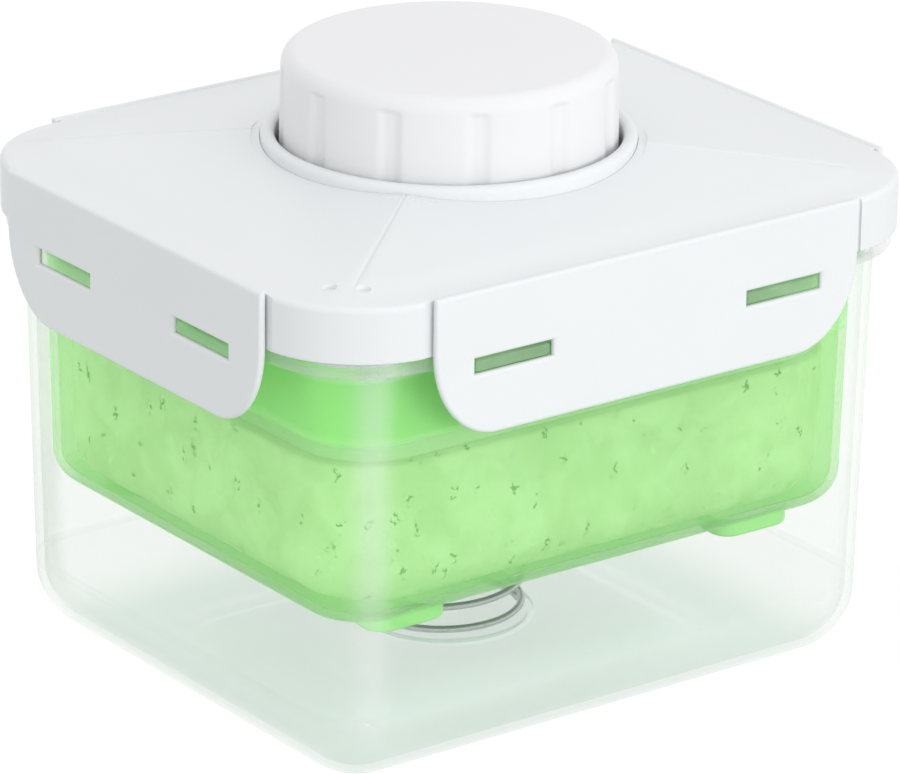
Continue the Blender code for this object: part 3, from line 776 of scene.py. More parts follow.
def drainShape(nodes, whole, values):
    columns, rows = values["Columns"], values["Rows"]
    sockets = {
        "Size X": (columns - 1) * values["Pitch Along"] * mm,
        "Size Y": (rows - 1) * values["Pitch Across"] * mm,
        "Vertices X": columns,
        "Vertices Y": rows,
    }
    grid = nodes.add("GeometryNodeMeshGrid", sockets)
    place = nodes.add("GeometryNodeInputPosition")
    split = nodes.add("ShaderNodeSeparateXYZ", {0: place})
    x, y = (nodes.maths("ABSOLUTE", socket) for socket in split.outputs[:2])
    nearX = nodes.maths("MAXIMUM", x - values["Length"] * (mm / 2), 0.0)
    nearY = nodes.maths("MAXIMUM", y - values["Width"] * (mm / 2), 0.0)
    squares = nearX * nearX + nearY * nearY
    atHub = nodes.maths("LESS_THAN", nodes.maths("SQRT", squares), values["Hub Radius"] * mm)
    pastX = nodes.maths("GREATER_THAN", x + values["Length"] * (mm / 2), values["Foot X"] * mm)
    pastY = nodes.maths("GREATER_THAN", y + values["Width"] * (mm / 2), values["Foot Y"] * mm)
    sockets = {0: grid, 1: nodes.maths("MAXIMUM", atHub, pastX * pastY)}
    kept = nodes.add("GeometryNodeDeleteGeometry", sockets, domain="POINT")
    sockets = {"Points": kept, "Instance": slotSolid(nodes, values)}
    slots = nodes.add("GeometryNodeInstanceOnPoints", sockets)
    low = (values["Height"] - values["Depth"] / 2) * mm
    lift = nodes.add("ShaderNodeCombineXYZ", {2: low})
    slots = nodes.add("GeometryNodeTransform", {"Geometry": slots, "Translation": lift})
    slots = nodes.add("GeometryNodeRealizeInstances", {0: slots})
    sockets = {0: whole, 1: slots}
    return nodes.add("GeometryNodeMeshBoolean", sockets, operation="DIFFERENCE", solver="EXACT")


def makeBasket():
    wall, fillet, base = tray["wall"], tray["fillet"], tray["base"]
    rim, bend = tray["rim"], tray["rimBend"]
    section = [
        trayAt(fillet + tray["floorRun"], base + wall),
        trayAt(fillet, base + wall),
        trayAt(wall, base + wall, fillet - wall),
        trayAt(wall, rim, bend),
        trayAt(0, rim, bend),
        trayAt(0, base, fillet),
        trayAt(fillet, base),
        trayAt(fillet + tray["floorRun"], base),
    ]
    outline = (box["halfLength"] - tray["clearance"], box["halfWidth"] - tray["clearance"])
    angles = outlineAngles([(*outline, tray["corner"])])
    thing = loft("basketTray", bent(section), angles, False)
    feet = bmesh.new()
    halfLength, halfWidth = tray["footLength"] / 2, tray["footWidth"] / 2
    for side in (-1, 1):
        for end in (-1, 1):
            x, y = side * tray["footX"], end * tray["footY"]
            low = (x - halfLength, y - halfWidth, tray["footBottom"])
            high = (x + halfLength, y + halfWidth, base + tray["embed"])
            addBox(feet, low, high, tray["footBend"], tray["footCorner"])
    top, bend = base + tray["embed"], tray["hubBend"]
    hub = [ring(tray["hubOuter"], top), ring(tray["hubOuter"], tray["hubBottom"], bend)]
    hub += [ring(tray["hubInner"], tray["hubBottom"], bend), ring(tray["hubInner"], top)]
    tools = [(meshObject("footTool", feet), "UNION"), (turned("hubTool", hub, True), "UNION")]
    thing = combine(thing, tools)
    thing = grow(thing, "drainSlots", drainShape, drains, greenPlastic)
    finishPiece(smoothed(thing), greenPlastic, "basket", ["basket"])


makeBasket()


# Lid: a four-sided roof with faint hip lines, corner skirts, and a double wall under it that holds
# the seal: the plug goes inside the container's wall, the guide outside it

cover = {
    "halfLength": 70.0,
    "halfWidth": 60.6,
    "corner": 22.0,
    "edge": 95.8,
    "edgeBend": 1.1,
    "underside": 93.8,
    "rise": 8.0,
    "wall": 2.0,
    "shoulder": 5.0,
    "crease": 9.5,
    "shoulderShare": 0.6,
    "creaseBend": 1.2,
    "hipDepth": 0.30,
    "hipAngle": 0.55,
    "hipReach": 0.5,
    "skirtBottom": 85.3,
    "skirtWall": 1.8,
    "skirtBend": 0.4,
    "plug": (4.4, 2.2, 82.3, 0.4),
    "guide": (-0.5, -1.9, 88.0, 0.3),
    "wallOutline": (62.3, 53.3, 11.3),
    "notchHalfFront": 49.5,
    "notchHalfSide": 42.5,
    "notchDepth": 0.6,
    "notchTop": 94.2,
    "skirtNotchInset": 2.5,
    "skirtNotchDepth": 2.65,
    "toolSpare": 2.0,
    "toolRise": 3.0,
    "holeRadius": 35.2,
    "ledgeRadius": 34.4,
    "ledgeBottom": 94.0,
    "ledgeBend": 0.3,
    "holeWall": 1.6,
    "holeBend": 0.5,
    "dimpleFoot": 1.2,
    "dimpleHead": 2.4,
    "dimpleDepth": 0.8,
    "dimpleTool": 4.0,
    "sharpAngle": 30,
    "dimples": ((-60.2, -46.5), (-55.9, -50.8)),
}


def roofRise(x, y):
    outward = max(abs(x) / cover["halfLength"], abs(y) / cover["halfWidth"])
    off = abs(cover["halfWidth"] * abs(x) - cover["halfLength"] * abs(y))
    hip = cover["hipDepth"] if off < cover["hipReach"] else 0
    return cover["rise"] * (1 - outward) - hip


def coverAt(inset, height, bend=0.0, share=0.0):
    sizes = (cover["halfLength"] - inset, cover["halfWidth"] - inset, cover["corner"] - inset)
    return corner(*sizes, height, bend, share)


def rimAt(inset, height, bend=0.0):  # follows the container's rim
    return wallAt(inset, box["height"])[:3] + (height, 0.0, bend)


def hangingWall(near, far, bottom, bend):
    under = cover["underside"]
    foot = [rimAt(side, bottom, bend) for side in (near, far)]
    return [rimAt(near, under), *foot, rimAt(far, under)]


def cutNotches(depth, top, inset):
    bm = bmesh.new()
    spare = cover["toolSpare"]
    halves = (cover["notchHalfFront"] - inset, cover["notchHalfSide"] - inset)
    sizes = (cover["halfLength"], cover["halfWidth"])
    depths = [(size - depth, size + spare) for size in sizes]
    lengths = [(-half, half) for half in halves]
    addOnSides(bm, depths, lengths, (cover["skirtBottom"] - spare, top))
    return bm


def cutDimples():
    bm = bmesh.new()
    depth = cover["dimpleTool"]
    sizes = {"radius1": cover["dimpleFoot"] * mm, "radius2": cover["dimpleHead"] * mm}
    for x, y in cover["dimples"]:
        height = cover["edge"] + roofRise(x, y) + depth / 2 - cover["dimpleDepth"]
        place = Matrix.Translation(Vector((x, y, height)) * mm)
        sizes.update(depth=depth * mm, segments=32, cap_ends=True, matrix=place)
        bmesh.ops.create_cone(bm, **sizes)
    return bm


def makeLid():
    edge, low, under = cover["edge"], cover["skirtBottom"], cover["underside"]
    hole, ledge = cover["holeRadius"], cover["ledgeRadius"]
    outer = hole + cover["holeWall"]
    bend, crease, lip = cover["skirtBend"], cover["creaseBend"], cover["ledgeBend"]
    section = [
        coverAt(0, low, bend),
        coverAt(0, edge, cover["edgeBend"]),
        coverAt(cover["shoulder"], edge, crease, cover["shoulderShare"]),
        coverAt(cover["crease"], edge, crease, 1.0),
        ring(hole, edge, 0.0, 1.0),
        ring(hole, edge),
        ring(ledge, edge),
        ring(ledge, cover["ledgeBottom"], lip),
        ring(outer, cover["ledgeBottom"], lip),
        ring(outer, edge - cover["wall"], cover["holeBend"], 1.0),
        *hangingWall(*cover["plug"]),
        *hangingWall(*cover["guide"]),
        coverAt(cover["skirtWall"], under),
        coverAt(cover["skirtWall"], low, bend),
    ]
    hipLine = math.atan2(cover["halfWidth"], cover["halfLength"])
    beside = math.radians(cover["hipAngle"])
    outlines = [(cover["halfLength"], cover["halfWidth"], cover["corner"]), cover["wallOutline"]]
    angles = outlineAngles(outlines, extra=(hipLine - beside, hipLine, hipLine + beside))
    thing = loft("lidShell", bent(section), angles, True, roofRise)
    notches = cutNotches(cover["notchDepth"], edge + cover["toolRise"], 0)
    skirts = cutNotches(cover["skirtNotchDepth"], cover["notchTop"], cover["skirtNotchInset"])
    tools = [(meshObject("notchTool", notches), "DIFFERENCE")]
    tools.append((meshObject("skirtTool", skirts), "DIFFERENCE"))
    tools.append((meshObject("dimpleTool", cutDimples()), "DIFFERENCE"))
    thing = smoothed(combine(thing, tools), cover["sharpAngle"])
    finishPiece(thing, whitePlastic, "root", ["lid"])


makeLid()


# Well cup: the raised ring, the well and the chimney

cup = {
    "ringRadius": 35.1,
    "ringTop": 102.2,
    "ringBend": 1.2,
    "seat": 95.8,
    "wellRadius": 32.4,
    "wellFloor": 83.5,
    "outerRadius": 34.2,
    "underside": 81.5,
    "bend": 0.8,
    "chimneyOuter": 12.5,
    "chimneyBore": 10.5,
    "chimneyTop": 97.5,
    "chimneyBottom": 69.5,
    "chimneyBend": 0.3,
    "sides": 144,
}


def makeCup():
    edge, bend, lip = cup["ringBend"], cup["bend"], cup["chimneyBend"]
    rows = (
        ("ringRadius", "ringTop", edge),
        ("ringRadius", "seat"),
        ("outerRadius", "seat"),
        ("outerRadius", "underside", bend),
        ("chimneyOuter", "underside", bend),
        ("chimneyOuter", "chimneyBottom", lip),
        ("chimneyBore", "chimneyBottom", lip),
        ("chimneyBore", "chimneyTop", lip),
        ("chimneyOuter", "chimneyTop", lip),
        ("chimneyOuter", "wellFloor", bend),
        ("wellRadius", "wellFloor", bend),
        ("wellRadius", "ringTop", edge),
    )
    thing = smoothed(turned("wellCup", rings(cup, rows), True, cup["sides"]))
    finishPiece(thing, whitePlastic, "root", ["well_cup"])


makeCup()


# Seal, in the channel above the container's rim

gasket = {
    "outer": -0.2,
    "inner": 1.9,
    "bottom": 92.3,
    "top": 93.5,
    "bend": 0.35,
    "outline": (64.5, 55.5, 13.5),
}


def makeSeal():
    order = (("outer", "top"), ("outer", "bottom"), ("inner", "bottom"), ("inner", "top"))
    section = [rimAt(gasket[side], gasket[height], gasket["bend"]) for side, height in order]
    thing = loft("rimSeal", bent(section), outlineAngles([gasket["outline"]]), True)
    finishPiece(smoothed(thing), silicone, "root", ["lid_seal"])


makeSeal()


# Latch flaps, and the thin hinge webs that join them to the lid

flap = {
    "thickness": 1.5,
    "height": 27.4,
    "top": 96.2,
    "edgeBend": 0.7,
    "cornerWidth": 14.0,
    "cornerHeight": 17.0,
    "cornerSteps": 20,
    "slotLength": 17.3,
    "slotHeight": 3.0,
    "slotBottom": 80.6,
    "frontLength": 96.0,
    "sideLength": 82.0,
    "frontFace": 60.3,
    "sideFace": 69.7,
    "frontSlot": 30.7,
    "sideSlot": 22.2,
}
web = {
    "inward": 1.6,
    "outward": 0.7,
    "thickness": 0.5,
    "endGap": 1.2,
    "drop": 0.35,
    "bend": 0.2,
    "yieldsFrom": 0.8,
    "yieldsTo": -0.1,
}
weldReach = 0.002


def flapOutline(length):
    half = length / 2
    points = [(half, 0.0)]
    for step in range(flap["cornerSteps"] + 1):
        angle = quarterTurn * step / flap["cornerSteps"]
        x = half - flap["cornerWidth"] * (1 - math.cos(angle))
        points.append((x, flap["cornerHeight"] * (1 - math.sin(angle)) - flap["height"]))
    return points + [(-x, y) for x, y in reversed(points)]


def slotOutline(centre):
    low = flap["slotBottom"] - flap["top"]
    high = low + flap["slotHeight"]
    left, right = centre - flap["slotLength"] / 2, centre + flap["slotLength"] / 2
    return [(left, low), (right, low), (right, high), (left, high)]


def makeFlap(name, node, body, length, slot, angle, distance):
    curve = bpy.data.curves.new(name, "CURVE")
    curve.dimensions = "2D"
    curve.fill_mode = "BOTH"
    curve.extrude = (flap["thickness"] / 2 - flap["edgeBend"]) * mm
    curve.bevel_depth = flap["edgeBend"] * mm
    curve.bevel_resolution = 3
    curve.offset = -flap["edgeBend"] * mm
    for outline in (flapOutline(length), slotOutline(-slot), slotOutline(slot)):
        spline = curve.splines.new("POLY")
        spline.points.add(len(outline) - 1)
        for point, (x, y) in zip(spline.points, outline):
            point.co = (x * mm, y * mm, 0, 1)
        spline.use_cyclic_u = True
    thing = addObject(name, curve)
    upright = Matrix.Rotation(quarterTurn, 4, "X")
    out = Matrix.Translation(Vector((0, -(distance + flap["thickness"] / 2), flap["top"])) * mm)
    thing.matrix_world = Matrix.Rotation(angle, 4, "Z") @ out @ upright
    thing = bake(thing)
    weld(thing)
    finishPiece(smoothed(thing), whitePlastic, body, [node])


def weld(thing):
    bm = bmesh.new()
    bm.from_mesh(thing.data)
    bmesh.ops.remove_doubles(bm, verts=bm.verts[:], dist=weldReach * mm)
    bmesh.ops.recalc_face_normals(bm, faces=bm.faces[:])
    bm.to_mesh(thing.data)
    bm.free()


def makeWeb(name, length, angle, distance):
    bm = bmesh.new()
    top = flap["top"] - web["drop"]
    half = length / 2 - web["endGap"]
    low = (-half, -distance - web["outward"], top - web["thickness"])
    addBox(bm, low, (half, -distance + web["inward"], top), web["bend"])
    thing = meshObject(name, bm)
    swing = Matrix.Rotation(angle, 4, "Z")
    thing.data.transform(swing)
    thing = finishPiece(smoothed(thing), whitePlastic, None)
    reaches = (web["yieldsFrom"] - distance, web["yieldsTo"] - distance)
    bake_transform(thing)


def makeFlaps():
    rows = (("front", 0, "front"), ("back", 2, "front"), ("left", -1, "side"), ("right", 1, "side"))
    for side, quarters, kind in rows:
        angle = quarters * quarterTurn
        sizes = (flap[kind + "Length"], flap[kind + "Slot"], angle, flap[kind + "Face"])
        makeFlap(side + "Flap", "latch_flap_" + side, "flap_" + side, *sizes)
        makeWeb(side + "HingeWeb", sizes[0], angle, sizes[3])


makeFlaps()


# Knob, with its flutes pressed in by a tree of geometry nodes

knob = {
    "radius": 31.6,
    "draft": 0.35,
    "top": 118.3,
    "dome": 0.6,
    "domeShares": (0.02, 0.2, 0.4, 0.6, 0.8),
    "fillet": 2.9,
    "filletGap": 0.05,
    "sideSteps": 3,
    "bottom": 98.5,
    "rimBend": 0.5,
    "wall": 1.7,
    "ceiling": 115.8,
    "ceilingBend": 1.0,
    "socketOuter": 17.0,
    "socketFoot": 16.7,
    "socketInner": 13.3,
    "socketBottom": 110.8,
    "socketBend": 0.4,
    "bossRadius": 4.5,
    "bossBottom": 110.0,
    "bossBend": 0.3,
    "pilotRadius": 1.9,
    "pilotTop": 114.0,
    "sides": 360,
}
flutes = {
    "Flutes": 12,
    "Depth": 0.55,
    "Share": 0.31,
    "Floor Share": 0.10,
    "Top": 115.3,
    "Run Out": 1.3,
    "Inner Radius": 30.3,
    "Turn": 3.5,
}


def fluteShape(nodes, whole, values):
    place = nodes.add("GeometryNodeInputPosition")
    split = nodes.add("ShaderNodeSeparateXYZ", {0: place})
    x, y, z = (Sum(nodes, socket) for socket in split.outputs)
    angle = nodes.maths("ARCTAN2", y, x) - values["Turn"] * math.radians(1)
    period = turn / values["Flutes"]
    away = nodes.maths("ABSOLUTE", nodes.maths("WRAP", angle, period / 2, period * -0.5))
    share = away / (period / 2)
    across = 1 - nodes.eased(share, values["Floor Share"], values["Share"])
    down = 1 - nodes.eased(z, (values["Top"] - values["Run Out"]) * mm, values["Top"] * mm)
    radius = nodes.maths("SQRT", x * x + y * y)
    outside = nodes.maths("GREATER_THAN", radius, values["Inner Radius"] * mm)
    press = across * down * outside * values["Depth"] * mm
    factor = press * -1 / radius
    move = nodes.add("ShaderNodeCombineXYZ", {0: x * factor, 1: y * factor})
    return nodes.add("GeometryNodeSetPosition", {"Geometry": whole, "Offset": move})


def makeKnob():
    radius, top, fillet = knob["radius"], knob["top"], knob["fillet"]
    slope = knob["draft"] / (top - knob["bottom"])
    crown = radius - knob["draft"]
    edge = top - knob["dome"]
    flat = crown - fillet
    section = [ring(share * flat, top - knob["dome"] * share**2) for share in knob["domeShares"]]
    section += [ring(flat, edge), ring(crown, edge, fillet)]
    upper, lower = edge - fillet - knob["filletGap"], flutes["Top"] - flutes["Run Out"]
    for step in range(knob["sideSteps"] + 1):
        height = upper + (lower - upper) * step / knob["sideSteps"]
        section.append(ring(crown + (edge - height) * slope, height))
    bend, socket, lip = knob["rimBend"], knob["socketBend"], knob["bossBend"]
    inner = radius - knob["wall"]
    section += [ring(radius, knob["bottom"], bend), ring(inner, knob["bottom"], bend)]
    section.append(ring(inner, knob["ceiling"], knob["ceilingBend"]))
    rows = (
        ("socketOuter", "ceiling", bend),
        ("socketFoot", "socketBottom", socket),
        ("socketInner", "socketBottom", socket),
        ("socketInner", "ceiling"),
        ("bossRadius", "ceiling", bend),
        ("bossRadius", "bossBottom", lip),
        ("pilotRadius", "bossBottom", lip),
        ("pilotRadius", "pilotTop"),
    )
    thing = turned("gripKnob", section + rings(knob, rows), False, knob["sides"])
    thing = grow(thing, "knobFlutes", fluteShape, flutes, knobPlastic)
    finishPiece(smoothed(thing), knobPlastic, "knob", ["knob"])


makeKnob()


# Stem: a hollow shaft whose thread is a helix swept by geometry nodes

stem = {
    "radius": 10.0,
    "bore": 6.0,
    "top": 115.5,
    "flangeRadius": 13.0,
    "flangeBottom": 112.5,
    "bottom": 63.8,
    "footTop": 66.2,
    "footRadius": 13.5,
    "webTop": 109.7,
    "webBottom": 106.5,
    "bossRoom": 4.8,
    "screwRoom": 2.05,
    "bend": 0.3,
    "neckBend": 0.5,
    "flangeBend": 0.4,
}
thread = {"Radius": 9.95, "Lead": 5.0, "Low": 68.5, "Turns": 8.2, "Ridge": 0.42, "Starts": 2}


def threadShape(nodes, whole, values):
    sockets = {
        "Resolution": 40,
        "Rotations": values["Turns"],
        "Start Radius": values["Radius"] * mm,
        "End Radius": values["Radius"] * mm,
        "Height": values["Turns"] * values["Lead"] * mm,
    }
    helix = nodes.add("GeometryNodeCurveSpiral", sockets)
    low = nodes.add("ShaderNodeCombineXYZ", {2: values["Low"] * mm})
    sockets = {"Count": values["Starts"], "Offset": (0.0, 0.0, 0.0), "Start Location": low}
    starts = nodes.add("GeometryNodeMeshLine", sockets)
    index = Sum(nodes, nodes.add("GeometryNodeInputIndex"))
    spin = nodes.add("ShaderNodeCombineXYZ", {2: index * turn / values["Starts"]})
    sockets = {"Radius": values["Ridge"] * mm, "Resolution": 6}
    profile = nodes.add("GeometryNodeCurvePrimitiveCircle", sockets)
    sockets = {"Curve": helix, "Profile Curve": profile, "Fill Caps": True}
    ridge = nodes.add("GeometryNodeCurveToMesh", sockets)
    sockets = {"Points": starts, "Instance": ridge, "Rotation": spin}
    ridges = nodes.add("GeometryNodeInstanceOnPoints", sockets)
    joined = nodes.add("GeometryNodeJoinGeometry", {0: whole})
    nodes.feed(joined.inputs[0], ridges)
    return joined


def makeStem():
    bend, neck = stem["bend"], stem["neckBend"]
    rows = (
        ("flangeRadius", "top", bend),
        ("flangeRadius", "flangeBottom", stem["flangeBend"]),
        ("radius", "flangeBottom", neck),
        ("radius", "footTop", neck),
        ("footRadius", "footTop", bend),
        ("footRadius", "bottom", bend),
        ("bore", "bottom", bend),
        ("bore", "webBottom", bend),
        ("screwRoom", "webBottom"),
        ("screwRoom", "webTop"),
        ("bossRoom", "webTop"),
        ("bossRoom", "top", bend),
    )
    thing = turned("threadedStem", rings(stem, rows), True)
    thing = grow(thing, "stemThread", threadShape, thread, whitePlastic)
    finishPiece(smoothed(thing), whitePlastic, "knob", ["screw_stem"])


makeStem()


# Fixing screw, up through the stem into the knob's boss

fixing = {
    "centre": 0.05,
    "tipRadius": 1.25,
    "radius": 1.75,
    "headRadius": 4.0,
    "top": 114.2,
    "taper": 113.0,
    "headTop": 106.2,
    "headBottom": 103.8,
    "neckBend": 0.2,
    "headBend": 0.3,
    "domeBend": 0.8,
    "slot": 0.9,
    "slotReach": 2.4,
    "slotDepth": 1.1,
    "slotSpare": 1.0,
    "sides": 48,
}


def makeScrew():
    rows = (
        ("centre", "top"),
        ("tipRadius", "top"),
        ("radius", "taper"),
        ("radius", "headTop", fixing["neckBend"]),
        ("headRadius", "headTop", fixing["headBend"]),
        ("headRadius", "headBottom", fixing["domeBend"]),
        ("centre", "headBottom"),
    )
    thing = turned("fixingScrew", rings(fixing, rows), False, fixing["sides"])
    cross = bmesh.new()
    half, long = fixing["slot"] / 2, fixing["slotReach"]
    foot = fixing["headBottom"]
    low, high = foot - fixing["slotSpare"], foot + fixing["slotDepth"]
    addBox(cross, (-long, -half, low), (long, half, high))
    addBox(cross, (-half, -long, low), (half, long, high))
    thing = smoothed(combine(thing, [(meshObject("crossTool", cross), "DIFFERENCE")]))
    finishPiece(thing, steel, "knob", ["knob_screw"])


makeScrew()


# Press plate and the collar that holds the stem's foot in its hub

plate = {
    "halfLength": 57.82,
    "halfWidth": 48.82,
    "corner": 14.5,
    "bottom": 61.5,
    "floorTop": 63.5,
    "rimTop": 66.0,
    "rimWall": 2.0,
    "edge": 1.0,
    "hubOuter": 17.0,
    "hubBore": 14.0,
    "hubTop": 68.7,
    "ribWall": 1.6,
    "ribTop": 65.7,
    "embed": 0.5,
    "collarOuter": 13.7,
    "collarBore": 10.5,
    "collarBottom": 66.5,
    "rimBend": 0.4,
    "floorBend": 0.6,
    "hubBend": 0.3,
    "ribBend": 0.2,
    "faceRun": (2.0, 8.0),
    "middle": 4.0,
}


def plateAt(inset, height, bend=0.0):
    sizes = (plate["halfLength"] - inset, plate["halfWidth"] - inset, plate["corner"] - inset)
    return corner(*sizes, height, bend)


def makePlate():
    low, floor, rim, wall = plate["bottom"], plate["floorTop"], plate["rimTop"], plate["rimWall"]
    bend, lip, foot = plate["rimBend"], plate["hubBend"], plate["floorBend"]
    nearRun, farRun = plate["faceRun"]
    section = [
        plateAt(plate["edge"] + farRun, low),
        plateAt(plate["edge"] + nearRun, low),
        plateAt(0, low, plate["edge"]),
        plateAt(0, rim, bend),
        plateAt(wall, rim, bend),
        plateAt(wall, floor, foot),
    ]
    rows = (
        ("hubOuter", "floorTop", foot),
        ("hubOuter", "hubTop", lip),
        ("hubBore", "hubTop", lip),
        ("hubBore", "floorTop", lip),
        ("middle", "floorTop"),
    )
    angles = outlineAngles([(plate["halfLength"], plate["halfWidth"], plate["corner"])])
    thing = loft("pressPlate", bent(section + rings(plate, rows)), angles, False)
    ribs = bmesh.new()
    half, inner = plate["ribWall"] / 2, plate["hubOuter"] - plate["embed"]
    sizes = (plate["halfLength"], plate["halfWidth"])
    depths = [(inner, size - wall + plate["embed"]) for size in sizes]
    levels = (floor - plate["embed"], plate["ribTop"])
    addOnSides(ribs, depths, [(-half, half)] * 2, levels, plate["ribBend"])
    thing = smoothed(combine(thing, [(meshObject("ribTool", ribs), "UNION")]))
    finishPiece(thing, whitePlastic, "plate", ["press_plate"])
    rows = (
        ("collarOuter", "hubTop", lip),
        ("collarOuter", "collarBottom", lip),
        ("collarBore", "collarBottom", lip),
        ("collarBore", "hubTop", lip),
    )
    thing = smoothed(turned("swivelCollar", rings(plate, rows), True))
    finishPiece(thing, whitePlastic, "plate", ["swivel_collar"])


makePlate()


# Return spring: one wire swept along a helix with closed ends, by geometry nodes

coil = {
    "Radius": 14.9,
    "Wire": 1.4,
    "Low": 5.3,
    "Height": 25.1,
    "Closed Turns": 1.0,
    "Open Turns": 3.5,
    "Closed Gap": 0.5,
    "Start": -19.0,
    "Points": 420,
}


def coilShape(nodes, _, values):
    line = nodes.add("GeometryNodeCurvePrimitiveLine")
    line = nodes.add("GeometryNodeResampleCurve", {"Curve": line, "Count": values["Points"]})
    along = Sum(nodes, nodes.add("GeometryNodeSplineParameter").outputs["Factor"])
    closed, opened = values["Closed Turns"], values["Open Turns"]
    turns = closed * 2 + opened
    here = along * turns
    pitch = values["Wire"] + values["Closed Gap"]
    openPitch = (values["Height"] - values["Wire"] - pitch * closed * 2) / opened
    first = nodes.maths("MINIMUM", here, closed)
    middle = nodes.maths("MINIMUM", nodes.maths("MAXIMUM", here - closed, 0.0), opened)
    last = nodes.maths("MAXIMUM", here - closed - opened, 0.0)
    z = values["Low"] + values["Wire"] / 2 + (first + last) * pitch + middle * openPitch
    angle = (here + values["Start"] / 360) * turn
    x = nodes.maths("COSINE", angle) * values["Radius"]
    y = nodes.maths("SINE", angle) * values["Radius"]
    place = nodes.add("ShaderNodeCombineXYZ", {0: x * mm, 1: y * mm, 2: z * mm})
    helix = nodes.add("GeometryNodeSetPosition", {"Geometry": line, "Position": place})
    sockets = {"Radius": values["Wire"] * (mm / 2), "Resolution": 14}
    wire = nodes.add("GeometryNodeCurvePrimitiveCircle", sockets)
    sockets = {"Curve": helix, "Profile Curve": wire, "Fill Caps": True}
    return nodes.add("GeometryNodeCurveToMesh", sockets)


def makeSpring():
    thing = addObject("returnSpring", bpy.data.meshes.new("returnSpring"))
    thing = grow(thing, "returnSpring", coilShape, coil, steel)
    thing.data.shade_smooth()
    finishPiece(thing, steel, "root", ["spring"])
    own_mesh(thing)


makeSpring()


# Curd: the pressed block, pitted by geometry nodes, that shows through the basket

block = {
    "bottom": 32.25,
    "top": 61.4,
    "gap": 0.25,
    "corner": 17.0,
    "lowBend": 8.5,
    "topBend": 0.8,
    "lowRun": 5.0,
    "topRun": 8.0,
    "bendSteps": 3,
    "step": 0.75,
    "outline": (58.0, 49.0, 17.0),
}
pits = {
    "Pit Scale": 260.0,
    "Pit Depth": 0.9,
    "Pit Start": 0.64,
    "Pit Full": 0.72,
    "Wave Scale": 60.0,
    "Wave Depth": 0.35,
}


def pitShape(nodes, whole, values):
    place = nodes.add("GeometryNodeInputPosition")
    normal = nodes.add("GeometryNodeInputNormal")
    crumb = nodes.noise(place, values["Pit Scale"], detail=3.0, distortion=1.2)
    wave = nodes.noise(place, values["Wave Scale"], detail=2.0)
    pit = nodes.eased(crumb, values["Pit Start"], values["Pit Full"])
    press = (pit * values["Pit Depth"] + wave * values["Wave Depth"]) * -mm
    move = nodes.add("ShaderNodeVectorMath", {0: normal, "Scale": press}, operation="SCALE")
    return nodes.add("GeometryNodeSetPosition", {"Geometry": whole, "Offset": move})


def blockAt(inset, height, bend=0.0):
    length, width, *_ = trayAt(tray["wall"] + block["gap"] + inset, height)
    return corner(length, width, block["corner"] - inset, height, bend)


def makeBlock():
    low, top, lowBend = block["bottom"], block["top"], block["lowBend"]
    section = [
        blockAt(lowBend + block["lowRun"], low),
        blockAt(lowBend, low),
        blockAt(0, low, lowBend),
        blockAt(0, top, block["topBend"]),
        blockAt(block["topRun"], top),
    ]
    levels = bent(section, block["bendSteps"])
    filled = []
    for first, second in zip(levels, levels[1:]):
        count = max(1, round(abs(second[3] - first[3]) / block["step"]))
        for step in range(count):
            filled.append([a + (b - a) * step / count for a, b in zip(first, second)])
    filled.append(levels[-1])
    angles = outlineAngles([block["outline"]], cornerSteps=30, widest=math.radians(0.75))
    thing = loft("curdBlock", filled, angles, False)
    thing = grow(thing, "curdPits", pitShape, pits, curd)
    thing.data.shade_smooth()
    finishPiece(thing, curd, "basket")
    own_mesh(thing)


makeBlock()


# Floor, world, lamps and camera

studio = {
    "floorSize": 6.0,
    "floorDrop": 0.1,
    "floorColour": (0.66, 0.67, 0.67, 1.0),
    "floorShade": (0.63, 0.64, 0.64, 1.0),
    "floorSpeck": 300.0,
    "floorRoughness": 0.9,
    "floorWhite": 0.9,
    "floorGlow": 1.08,
    "horizon": 0.76,
    "zenith": 1.03,
    "white": (1.0, 1.0, 1.0, 1.0),
    "aim": (0.0, 0.0, 0.06),
    "clearLayers": 48,
}
lamps = (  # name, place, size, power, and if it reaches only the basket and the curd
    ("keyLamp", (0.1, -1.95, 0.48), (1.4, 0.7), 13.0, False),
    ("leftGreenLamp", (-1.5, 0.0, 0.3), (1.0, 0.5), 7.8, True),
    ("rightGreenLamp", (1.5, 0.0, 0.3), (1.0, 0.5), 5.2, True),
    ("frontGreenLamp", (0.0, -1.5, 0.3), (1.0, 0.5), 3.2, True),
    ("backGreenLamp", (0.0, 1.5, 0.3), (1.0, 0.5), 6.5, True),
)


def seenDirectly(nodes):  # camera, mirror and glass rays see the backdrop as plain white
    path = nodes.add("ShaderNodeLightPath")
    straight = nodes.maths("MAXIMUM", path.outputs["Is Camera Ray"], path.outputs["Is Glossy Ray"])
    return nodes.maths("MAXIMUM", straight, path.outputs["Is Transmission Ray"])


def floorSkin(nodes, place, look):
    speck = nodes.noise(place, look["floorSpeck"], detail=2.0)
    colour = nodes.mixed(speck, look["floorShade"], look["floorColour"])
    sockets = {"Base Color": colour, "Roughness": look["floorRoughness"]}
    matt = nodes.add("ShaderNodeBsdfPrincipled", sockets)
    sockets = {"Color": look["white"], "Strength": look["floorGlow"]}
    glow = nodes.add("ShaderNodeEmission", sockets)
    share = seenDirectly(nodes) * look["floorWhite"]
    return nodes.add("ShaderNodeMixShader", {0: share, 1: matt, 2: glow})


def makeFloor():
    bm = bmesh.new()
    bmesh.ops.create_grid(bm, x_segments=1, y_segments=1, size=studio["floorSize"] / 2)
    floor = meshObject("studioFloor", bm)
    floor.data.transform(Matrix.Translation((0, 0, -studio["floorDrop"] * mm)))
    floor.data.materials.append(makeMaterial("paleFloor", floorSkin, studio))


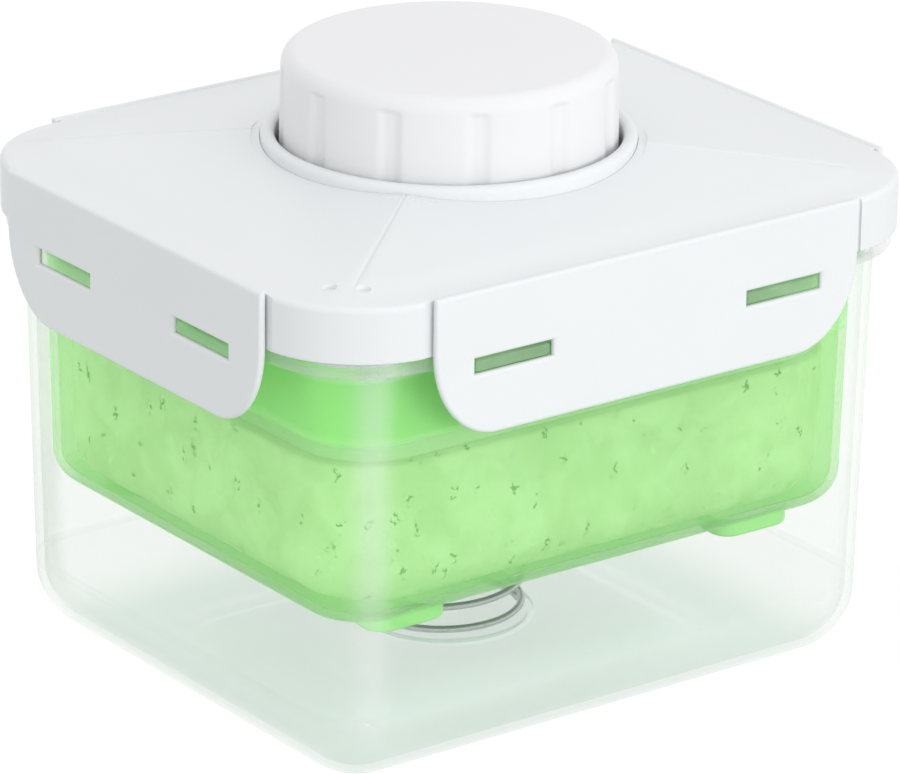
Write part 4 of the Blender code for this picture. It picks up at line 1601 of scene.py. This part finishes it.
def makeWorld():
    world = bpy.data.worlds.new("softStudio")
    world.use_nodes = True
    world.node_tree.nodes.clear()
    nodes = Nodes(world.node_tree)
    direction = nodes.add("ShaderNodeTexCoord").outputs["Generated"]
    up = nodes.add("ShaderNodeSeparateXYZ", {0: direction}).outputs[2]
    soft = studio["horizon"] + nodes.clamped(up) * (studio["zenith"] - studio["horizon"])
    strength = soft + seenDirectly(nodes) * (1 - soft)
    shade = nodes.add("ShaderNodeBackground", {"Color": studio["white"], "Strength": strength})
    nodes.add("ShaderNodeOutputWorld", {"Surface": shade})
    bpy.context.scene.world = world


def makeLamps():  # clear walls lead light inward, so some lamps reach only what they hold
    inside = bpy.data.collections.new("greenAndCurd")
    for name in ("basketTray", "curdBlock"):
        inside.objects.link(bpy.data.objects[name])
    for name, place, size, power, insideOnly in lamps:
        light = bpy.data.lights.new(name, "AREA")
        light.shape = "RECTANGLE"
        light.size, light.size_y = size
        light.energy = power
        lamp = addObject(name, light)
        lamp.location = place
        lamp.visible_glossy = False
        aim = Vector(studio["aim"]) - Vector(place)
        lamp.rotation_euler = aim.to_track_quat("-Z", "Y").to_euler()
        if insideOnly:
            lamp.light_linking.receiver_collection = inside
            lamp.light_linking.blocker_collection = inside


view = {
    "azimuth": -36.4458,
    "elevation": 20.766,
    "roll": 0.6348,
    "lens": 250.071,
    "sensor": 36.0,
    "clip": (0.05, 20.0),
    "place": (-0.656919, -0.884281, 0.469047),
    "shift": (0.022984, -0.004321),
}


def makeCamera():
    data = bpy.data.cameras.new("photoCamera")
    data.sensor_width = view["sensor"]
    data.lens = view["lens"]
    data.shift_x, data.shift_y = view["shift"]
    data.clip_start, data.clip_end = view["clip"]
    camera = addObject("photoCamera", data)
    azimuth, elevation = math.radians(view["azimuth"]), math.radians(view["elevation"])
    swing = Matrix.Rotation(azimuth, 4, "Z") @ Matrix.Rotation(quarterTurn - elevation, 4, "X")
    roll = Matrix.Rotation(math.radians(view["roll"]), 4, "Z")
    camera.matrix_world = Matrix.Translation(view["place"]) @ swing @ roll
    bpy.context.scene.camera = camera


makeFloor()
makeWorld()
makeLamps()
makeCamera()
scene = bpy.context.scene
scene.view_settings.view_transform = "Standard"
scene.cycles.transparent_max_bounces = studio["clearLayers"]
print("studio made")
